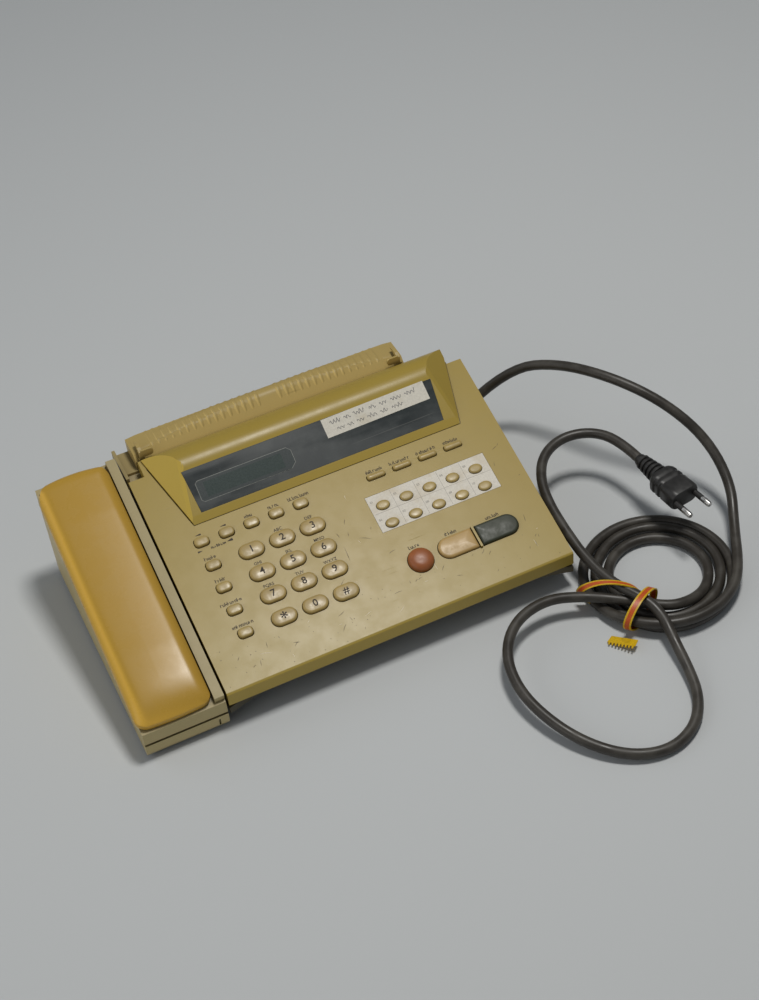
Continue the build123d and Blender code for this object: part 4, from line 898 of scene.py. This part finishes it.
def make_flutes(material):
    """Shallow flutes that run back over the crown of the document support, in two groups."""
    low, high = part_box("document_support")
    x0, x1, front, crown = low.x / MM, high.x / MM, low.y / MM, high.z / MM
    radius = ((x1 - x0) ** 2 / 4 + SUPPORT_ARCH**2) / (2 * SUPPORT_ARCH)
    rows = []
    for y, drop in FLUTE_PROFILE:
        fade = 0.15 if y < 4.0 else 1.0
        row = []
        for i in range(FLUTE_COLUMNS + 1):
            part = i / FLUTE_COLUMNS
            x = x0 + FLUTE_MARGIN + (x1 - x0 - 2 * FLUTE_MARGIN) * part
            arch = crown - (radius - math.sqrt(radius**2 - (x - (x0 + x1) / 2) ** 2))
            fluted = 0.06 < part < 0.47 or 0.53 < part < 0.94
            wave = max(0.0, math.sin(part * math.pi * 74)) ** 0.6 if fluted else 0.0
            z = min(crown + drop, arch) + 0.05 + 0.6 * wave * fade
            row.append(Vector((x, front + y, z)) * MM)
        rows.append(row)
    shape = Shape()
    shape.sheet(rows)
    finish_piece(shape.build("support_flutes", [material], 60.0), "base")


# ---- cord fittings ----
# Ties: angle about the coil, lean, and reach across its strands. Bands: edges and material.
TIES = ((-168.0, 0.95, 17.0), (-137.0, 0.25, 19.5))
TIE_BANDS = ((-3.0, -1.7, 1), (-1.7, 1.7, 0), (1.7, 3.0, 1))
TIE_PLACE, TIE_HEIGHT, TIE_RISE, TIE_THICKNESS = 48.5, 15.0, 14.2, 0.9
TAB_ORIGIN = Vector((174.0, -172.0, 1.2))
TAB_TURN = math.radians(51.0)
TAB_TEETH, TAB_PITCH, TAB_WIDTH, TAB_TIP, TAB_SLOPE = 9, 2.6, 6.4, 8.6, 0.22


def add_tie(shape, angle, lean, size):
    """Striped band closed around the coil's strands."""
    radial = Vector((math.cos(math.radians(angle)), math.sin(math.radians(angle)), 0.0))
    along = Vector((-radial.y, radial.x, 0.0))
    centre = Vector((*COIL_CENTRE, TIE_HEIGHT)) + radial * TIE_PLACE
    steps = 44
    for low, high, index in TIE_BANDS:
        points, faces = [], []
        for step in range(steps):
            turn = 2 * math.pi * step / steps
            reach = size + 0.7 * math.sin(3 * turn + angle)
            out = radial * math.cos(turn) * reach + UP * math.sin(turn) * TIE_RISE
            spot = centre + out + along * (-lean * reach * math.cos(turn))
            inner = out.normalized() * -TIE_THICKNESS
            ring = [spot + along * low, spot + along * high]
            ring += [spot + along * high + inner, spot + along * low + inner]
            points += [point * MM for point in ring]
            here, there = step * 4, (step + 1) % steps * 4
            for a in range(4):
                b = (a + 1) % 4
                faces.append((here + a, here + b, there + b, there + a))
        shape.add(points, faces, index)


def make_ties(orange, yellow):
    """Two striped twist ties around the coil, and the toothed end of one of them."""
    shape = Shape()
    for tie in TIES:
        add_tie(shape, *tie)
    tab = [(i * TAB_PITCH, 0.0) for i in range(TAB_TEETH)]
    for i in reversed(range(TAB_TEETH)):
        x = i * TAB_PITCH
        tab += [(x, TAB_WIDTH), (x - 1.1, TAB_WIDTH), (x - 1.1, TAB_TIP), (x - 2.2, TAB_TIP)]
    lower, upper = [], []
    for along, across in tab[:-2]:
        x = along * math.cos(TAB_TURN) - across * math.sin(TAB_TURN)
        y = along * math.sin(TAB_TURN) + across * math.cos(TAB_TURN)
        lower.append((TAB_ORIGIN + Vector((x, -y, TAB_SLOPE * along))) * MM)
        upper.append((TAB_ORIGIN + Vector((x, -y, 1.0 + TAB_SLOPE * along))) * MM)
    shape.rings([lower, upper], 1)
    finish_piece(shape.build("cord_ties", [orange, yellow]), "base")


PLUG_AXIS = Vector((0.16, -1.0, 0.0)).normalized()
# Sections of the plug's body: distance along it, half its width and half its height.
PLUG_SECTIONS = [
    (22.5, 8.0, 7.0), (23.5, 10.5, 8.0), (26.0, 12.2, 8.4), (29.0, 12.6, 8.5), (30.0, 11.9, 8.0),
    (31.5, 11.9, 8.0), (32.5, 12.7, 8.5), (35.0, 12.8, 8.5), (36.0, 12.0, 8.0), (37.5, 12.0, 8.0),
    (38.5, 12.8, 8.5), (47.0, 13.0, 8.5), (51.0, 13.0, 8.5), (52.5, 12.4, 8.0), (53.0, 11.0, 6.8),
]
# Radius and distance along a pin: its insulated root, then its bare end.
PIN_ROOT = [(2.4, 52.5), (2.4, 61.0), (2.0, 61.2)]
PIN_END = [(2.0, 61.2), (2.0, 61.6), (2.4, 61.8), (2.4, 69.0), (1.9, 70.2), (0.8, 70.45)]
PIN_OFFSET = 9.5


def make_plug(rubber, metal):
    """Moulded plug: ringed relief, tapered body with finger grooves, and two round pins."""
    start = Vector(PLUG_LEAD[-1])
    side = PLUG_AXIS.cross(UP).normalized()
    shape = Shape()
    profile = [(4.3, -2.0), (5.0, -0.5)]
    for ring in range(5):
        at, radius, wider = 2.6 + 4.4 * ring, 6.2 + 0.5 * ring, 0.5 * ring
        profile += [(4.7 + wider, at - 0.5), (radius, at), (radius, at + 1.9), (4.9 + wider, at + 2.4)]
    turned(shape, [*profile, (7.6, 25.0)], start, PLUG_AXIS)
    rings = []
    for at, half_x, half_z in PLUG_SECTIONS:
        ring = outline(-half_x, half_x, -half_z, half_z, [min(half_z, 6.0)] * 4)
        rings.append([(start + PLUG_AXIS * at + side * x + UP * z) * MM for x, z in ring])
    shape.rings(rings)
    for offset in (-PIN_OFFSET, PIN_OFFSET):
        turned(shape, PIN_ROOT, start + side * offset, PLUG_AXIS, 0, 20)
        turned(shape, PIN_END, start + side * offset, PLUG_AXIS, 1, 20)
    finish_piece(shape.build("mains_plug", [rubber, metal]), "base", ["power_plug"])


def make_relief(rubber):
    """Ringed strain relief where the cord leaves the housing."""
    profile = [(8.3, -14.0), (8.3, -11.4), (6.1, -11.0), (6.1, 4.2)]
    for ring in range(5):
        at, radius = 5.2 + 3.0 * ring, 6.6 - 0.28 * ring
        profile += [(radius - 0.9, at - 0.4), (radius, at), (radius, at + 1.3), (radius - 0.95, at + 1.7)]
    shape = Shape()
    turned(shape, [*profile, (4.6, 20.0), (4.15, 20.6)], (175.5, 76.0, 30.0), (0.8, -0.1, 0.59))
    finish_piece(shape.build("strain_relief", [rubber]), "base", ["cord_strain_relief"])


# ---- finishes of the pieces ----
def decal(name, colour, roughness=0.6):
    """Printed ink: slightly uneven, so that it isn't one flat colour."""
    look = Surface(name)
    paler = tuple(channel * 1.5 + 0.02 for channel in colour)
    base = look.blots(colour, paler, (900.0, 4.0, 0.7), 0.25, 0.7, 0.6)
    return look.finish(base, roughness, Specular_IOR_Level=0.3)


def key_plastic(name, colour, gloss):
    """Rubbed key: smooth top, darker colour around its foot where ambient occlusion finds the crevice, and
    small nicks.
    """
    look = Surface(name)
    mottle = look.noise(180.0, 5.0, 0.6)
    base = look.mix(look.step(mottle, 0.3, 0.75, 0.0, 0.5), colour, shade(colour, 0.74))
    base = look.blots(base, shade(colour, 1.22), (75.0, 3.0), 0.45, 0.65, 0.35)
    base = look.blots(base, shade(colour, 0.35), (700.0, 3.0, 0.7), 0.70, 0.76, 0.6)
    base = look.crevice_darkening(base, (0.040, 0.024, 0.010), 3.2 * MM, 0.20, 0.72, 0.8)
    rough = look.step(mottle, 0.3, 0.7, gloss - 0.05, gloss + 0.12)
    normal = look.bump(look.noise(380.0, 3.0), 0.10, 0.15 * MM)
    return look.finish(base, rough, normal, IOR=1.5)


def paper_finish(name, colour, stain):
    """Fibrous paper with stained blots."""
    look = Surface(name)
    fibre = look.noise(600.0, 5.0, 0.65)
    base = look.mix(look.step(fibre, 0.3, 0.7), colour, shade(colour, 0.86))
    base = look.blots(base, stain, (55.0, 4.0, 0.6), 0.50, 0.72, 0.55)
    normal = look.bump(fibre, 0.15, 0.08 * MM)
    return look.finish(base, 0.72, normal)


def window_finish():
    """Smoked window: glossy, with dust, wiped smears and fine scratches."""
    look = Surface("smoked_window")
    smoked, dusty = (0.022, 0.028, 0.029), (0.060, 0.068, 0.066)
    base = look.blots(smoked, dusty, (65.0, 6.0, 0.65), 0.40, 0.72, 0.5)
    base = look.blots(base, (0.20, 0.19, 0.16), (800.0, 3.0, 0.7), 0.69, 0.75, 0.5)
    smear = look.noise(9.0, 3.0, 0.5, (1.0, 6.0, 1.0), (0.0, 0.0, 0.35))
    rough = look.step(smear, 0.35, 0.65, 0.16, 0.34)
    hair = look.step(look.noise(9.0, 2.0, 0.4, (1.0, 60.0, 1.0), (0.0, 0.0, -0.6)), 0.72, 0.75)
    base = look.mix(look.math("MULTIPLY", hair, 0.4), base, (0.14, 0.14, 0.13))
    normal = look.bump(look.noise(40.0, 2.0), 0.05, 0.3 * MM)
    return look.finish(base, rough, normal, IOR=1.49)


def roller_finish(name, node, core_radius, gear_from):
    """Ground rubber on a steel shaft with a nylon gear, told apart by radius and by X."""
    low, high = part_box(node)
    centre_y, centre_z = (low.y + high.y) / 2, (low.z + high.z) / 2
    look = Surface(name)
    dy = look.math("SUBTRACT", look.axis("Y"), centre_y)
    dz = look.math("SUBTRACT", look.axis("Z"), centre_z)
    squares = look.math("ADD", look.math("MULTIPLY", dy, dy), look.math("MULTIPLY", dz, dz))
    radius = look.math("SQRT", squares, 0.0)
    is_steel = look.math("LESS_THAN", radius, core_radius + 0.15 * MM)
    is_gear = look.math("GREATER_THAN", look.axis("X"), gear_from)
    grit = look.noise(900.0, 4.0, 0.7)
    rubber = look.mix(look.step(grit, 0.35, 0.7), (0.022, 0.022, 0.023), (0.060, 0.058, 0.055))
    nylon = look.blots((0.66, 0.64, 0.56), (0.78, 0.77, 0.71), (120.0, 3.0), 0.3, 0.7)
    steel = look.blots((0.42, 0.42, 0.43), (0.58, 0.58, 0.59), (200.0, 4.0), 0.3, 0.7)
    base = look.mix(is_gear, rubber, nylon)
    base = look.mix(is_steel, base, steel)
    base = look.crevice_darkening(base, (0.02, 0.018, 0.015), 2.5 * MM, 0.2, 0.8, 0.55)
    look.feed(look.shader.inputs["Metallic"], is_steel)
    rough = look.step(grit, 0.3, 0.7, 0.42, 0.66)
    return look.finish(base, rough, look.bump(grit, 0.12, 0.08 * MM))


def board_finish():
    """Solder mask with tracks, pads and pale component bodies on it."""
    look = Surface("solder_mask")
    cells = look.add("ShaderNodeTexBrick", Vector=look.place, Scale=95.0)
    look.feed(cells.inputs["Color1"], (0.020, 0.085, 0.032))
    look.feed(cells.inputs["Color2"], (0.028, 0.120, 0.044))
    look.feed(cells.inputs["Mortar"], (0.085, 0.200, 0.085))
    cells.inputs["Mortar Size"].default_value = 0.03
    pads = look.step(look.noise(520.0, 1.0), 0.70, 0.72)
    base = look.mix(pads, cells.outputs["Color"], (0.45, 0.44, 0.40))
    base = look.blots(base, (0.20, 0.18, 0.14), (40.0, 5.0), 0.45, 0.75, 0.25)
    normal = look.bump(pads, 0.4, 0.15 * MM)
    return look.finish(base, 0.38, normal, IOR=1.5)


def tie_finish(name, colour):
    """Dirty woven-looking plastic of a twist tie."""
    look = Surface(name)
    weave = look.noise(1300.0, 2.0, 0.5)
    base = look.mix(look.step(weave, 0.3, 0.7), shade(colour, 0.75), colour)
    base = look.blots(base, shade(colour, 0.35), (120.0, 4.0), 0.50, 0.75, 0.5)
    return look.finish(base, 0.38, look.bump(weave, 0.25, 0.1 * MM))


def soften(node, width):
    """Rounded edges on a CAD piece, by modifiers only."""
    weld = nodes[node].modifiers.new("weld", "WELD")
    weld.merge_threshold = 0.01 * MM
    bevel = nodes[node].modifiers.new("edges", "BEVEL")
    bevel.width = width * MM
    bevel.segments = 2
    bevel.limit_method = "ANGLE"
    bevel.angle_limit = math.radians(30.0)
    bevel.use_clamp_overlap = True
    bevel.harden_normals = True
    normals = nodes[node].modifiers.new("normals", "WEIGHTED_NORMAL")
    normals.keep_sharp = True
    normals.weight = 90


def make_floor():
    """Plain pale floor, wide enough to fill every view."""
    far = 30.0
    mesh = bpy.data.meshes.new("floor")
    mesh.from_pydata([(-far, -far, 0), (far, -far, 0), (far, far, 0), (-far, far, 0)], [], [(0, 1, 2, 3)])
    mesh.materials.append(Surface("floor").finish((0.54, 0.555, 0.56), 0.75))
    link("floor", mesh)


# ---- scene ----
make_camera()
make_light()

ink = decal("printed_ink", (0.028, 0.018, 0.010))
finishes = {
    "ink": ink,
    "digit": key_plastic("digit_key_plastic", (0.40, 0.285, 0.100), 0.33),
    "small": key_plastic("small_key_plastic", (0.40, 0.290, 0.100), 0.34),
    "stop": key_plastic("stop_key_plastic", (0.33, 0.105, 0.034), 0.35),
    "copy": key_plastic("copy_key_plastic", (0.46, 0.300, 0.110), 0.33),
    "start": key_plastic("start_key_plastic", (0.034, 0.039, 0.022), 0.45),
    "view": decal("display_surround", (0.030, 0.038, 0.038), 0.3),
    "line": decal("display_line", (0.16, 0.165, 0.15), 0.4),
    "glass": decal("display_glass", (0.036, 0.050, 0.046), 0.22),
    "paper": paper_finish("sticker_paper", (0.70, 0.66, 0.57), (0.56, 0.50, 0.38)),
    "pen": decal("pen_line", (0.045, 0.045, 0.060)),
}
make_keys(finishes)
columns, rows = make_one_touch(finishes)
make_panel_print(ink)
make_label_print(columns, rows, decal("card_lines", (0.26, 0.24, 0.21)))
make_display_view(finishes)
make_sticker(finishes)
make_scuffs(decal("dirty_scratch", (0.060, 0.042, 0.020)), decal("bare_scratch", (0.62, 0.54, 0.38)))

# The base's plastic has a painted shade under the front lip.
base_plastic = aged_plastic(
    "base_plastic", (0.33, 0.26, 0.12), (0.35, 0.25, 0.09), painted_shade_y=(-0.088, -0.070)
)
# The cover's plastic has a painted sheen towards its front edge.
cover_plastic = aged_plastic(
    "cover_plastic", (0.345, 0.246, 0.047), (0.350, 0.238, 0.045), gloss=0.33, painted_sheen_y=(-0.095, -0.02)
)
cradle_plastic = aged_plastic("cradle_plastic", (0.37, 0.300, 0.145), (0.39, 0.295, 0.110))
support_plastic = aged_plastic("support_plastic", (0.40, 0.295, 0.105), (0.41, 0.285, 0.08))
face_plastic = aged_plastic("handset_face_plastic", (0.45, 0.33, 0.16), (0.48, 0.33, 0.12), gloss=0.33)
make_handset(aged_plastic(
    "handset_plastic", (0.45, 0.268, 0.040), (0.49, 0.268, 0.032), gloss=0.27, grain=0.25, wear=0.6
))
make_flutes(support_plastic)

cord_rubber = rubber_material()
pin_steel = plain_part("pin_steel", (0.55, 0.54, 0.52), 0.28, 1.0)
make_plug(plain_part("plug_moulding", (0.022, 0.021, 0.020), 0.42, scale=200.0), pin_steel)
make_relief(cord_rubber)
cord = make_cord(cord_rubber)
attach(cord, "base")
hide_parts("power_cord", "power_cord_coil", "power_cord_loop", "plug_lead")
make_ties(tie_finish("tie_orange", (0.60, 0.095, 0.010)), tie_finish("tie_yellow", (0.72, 0.45, 0.004)))

nylon = plain_part("gear_nylon", (0.70, 0.68, 0.60), 0.42, scale=160.0)
board = board_finish()
black_moulding = plain_part("black_moulding", (0.026, 0.026, 0.028), 0.45)
for node, material in {
    "control_panel_cover": cover_plastic,
    "base_housing": base_plastic,
    "document_support": support_plastic,
    "document_guide_left": support_plastic,
    "document_guide_right": support_plastic,
    "handset_cradle": cradle_plastic,
    "handset_face_shell": face_plastic,
    "display_window": window_finish(),
    "lcd_module": plain_part("lcd_frame", (0.30, 0.31, 0.30), 0.35, 0.6),
    "one_touch_label": paper_finish("index_card", (0.76, 0.71, 0.62), (0.60, 0.51, 0.37)),
    "guide_pinion": nylon,
    "motor_pinion": nylon,
    "platen_roller": roller_finish("platen_finish", "platen_roller", 3.0 * MM, 0.1395),
    "feed_roller": roller_finish("feed_finish", "feed_roller", 2.5 * MM, 0.1335),
    "drive_motor": plain_part("motor_case", (0.46, 0.46, 0.45), 0.36, 1.0, 240.0),
    "thermal_printhead": plain_part("heat_sink", (0.52, 0.52, 0.53), 0.40, 1.0, 500.0),
    "image_sensor": black_moulding,
    "paper_roll": paper_finish("thermal_paper", (0.74, 0.73, 0.70), (0.64, 0.60, 0.50)),
    "main_circuit_board": board,
    "panel_circuit_board": board,
    "speaker": plain_part("speaker_cone", (0.035, 0.034, 0.033), 0.60),
    "hook_switch": black_moulding,
    "rubber_feet": plain_part("foot_rubber", (0.035, 0.034, 0.033), 0.75),
    "case_screws": plain_part("screw_zinc", (0.52, 0.51, 0.48), 0.34, 1.0),
}.items():
    set_material(node, material)
for node, width in {
    "control_panel_cover": 0.45, "handset_cradle": 0.6, "base_housing": 0.4, "document_support": 0.5,
    "handset_face_shell": 0.4, "document_guide_left": 0.3, "document_guide_right": 0.3,
}.items():
    soften(node, width)
make_floor()
bpy.context.scene.view_settings.view_transform = "Standard"
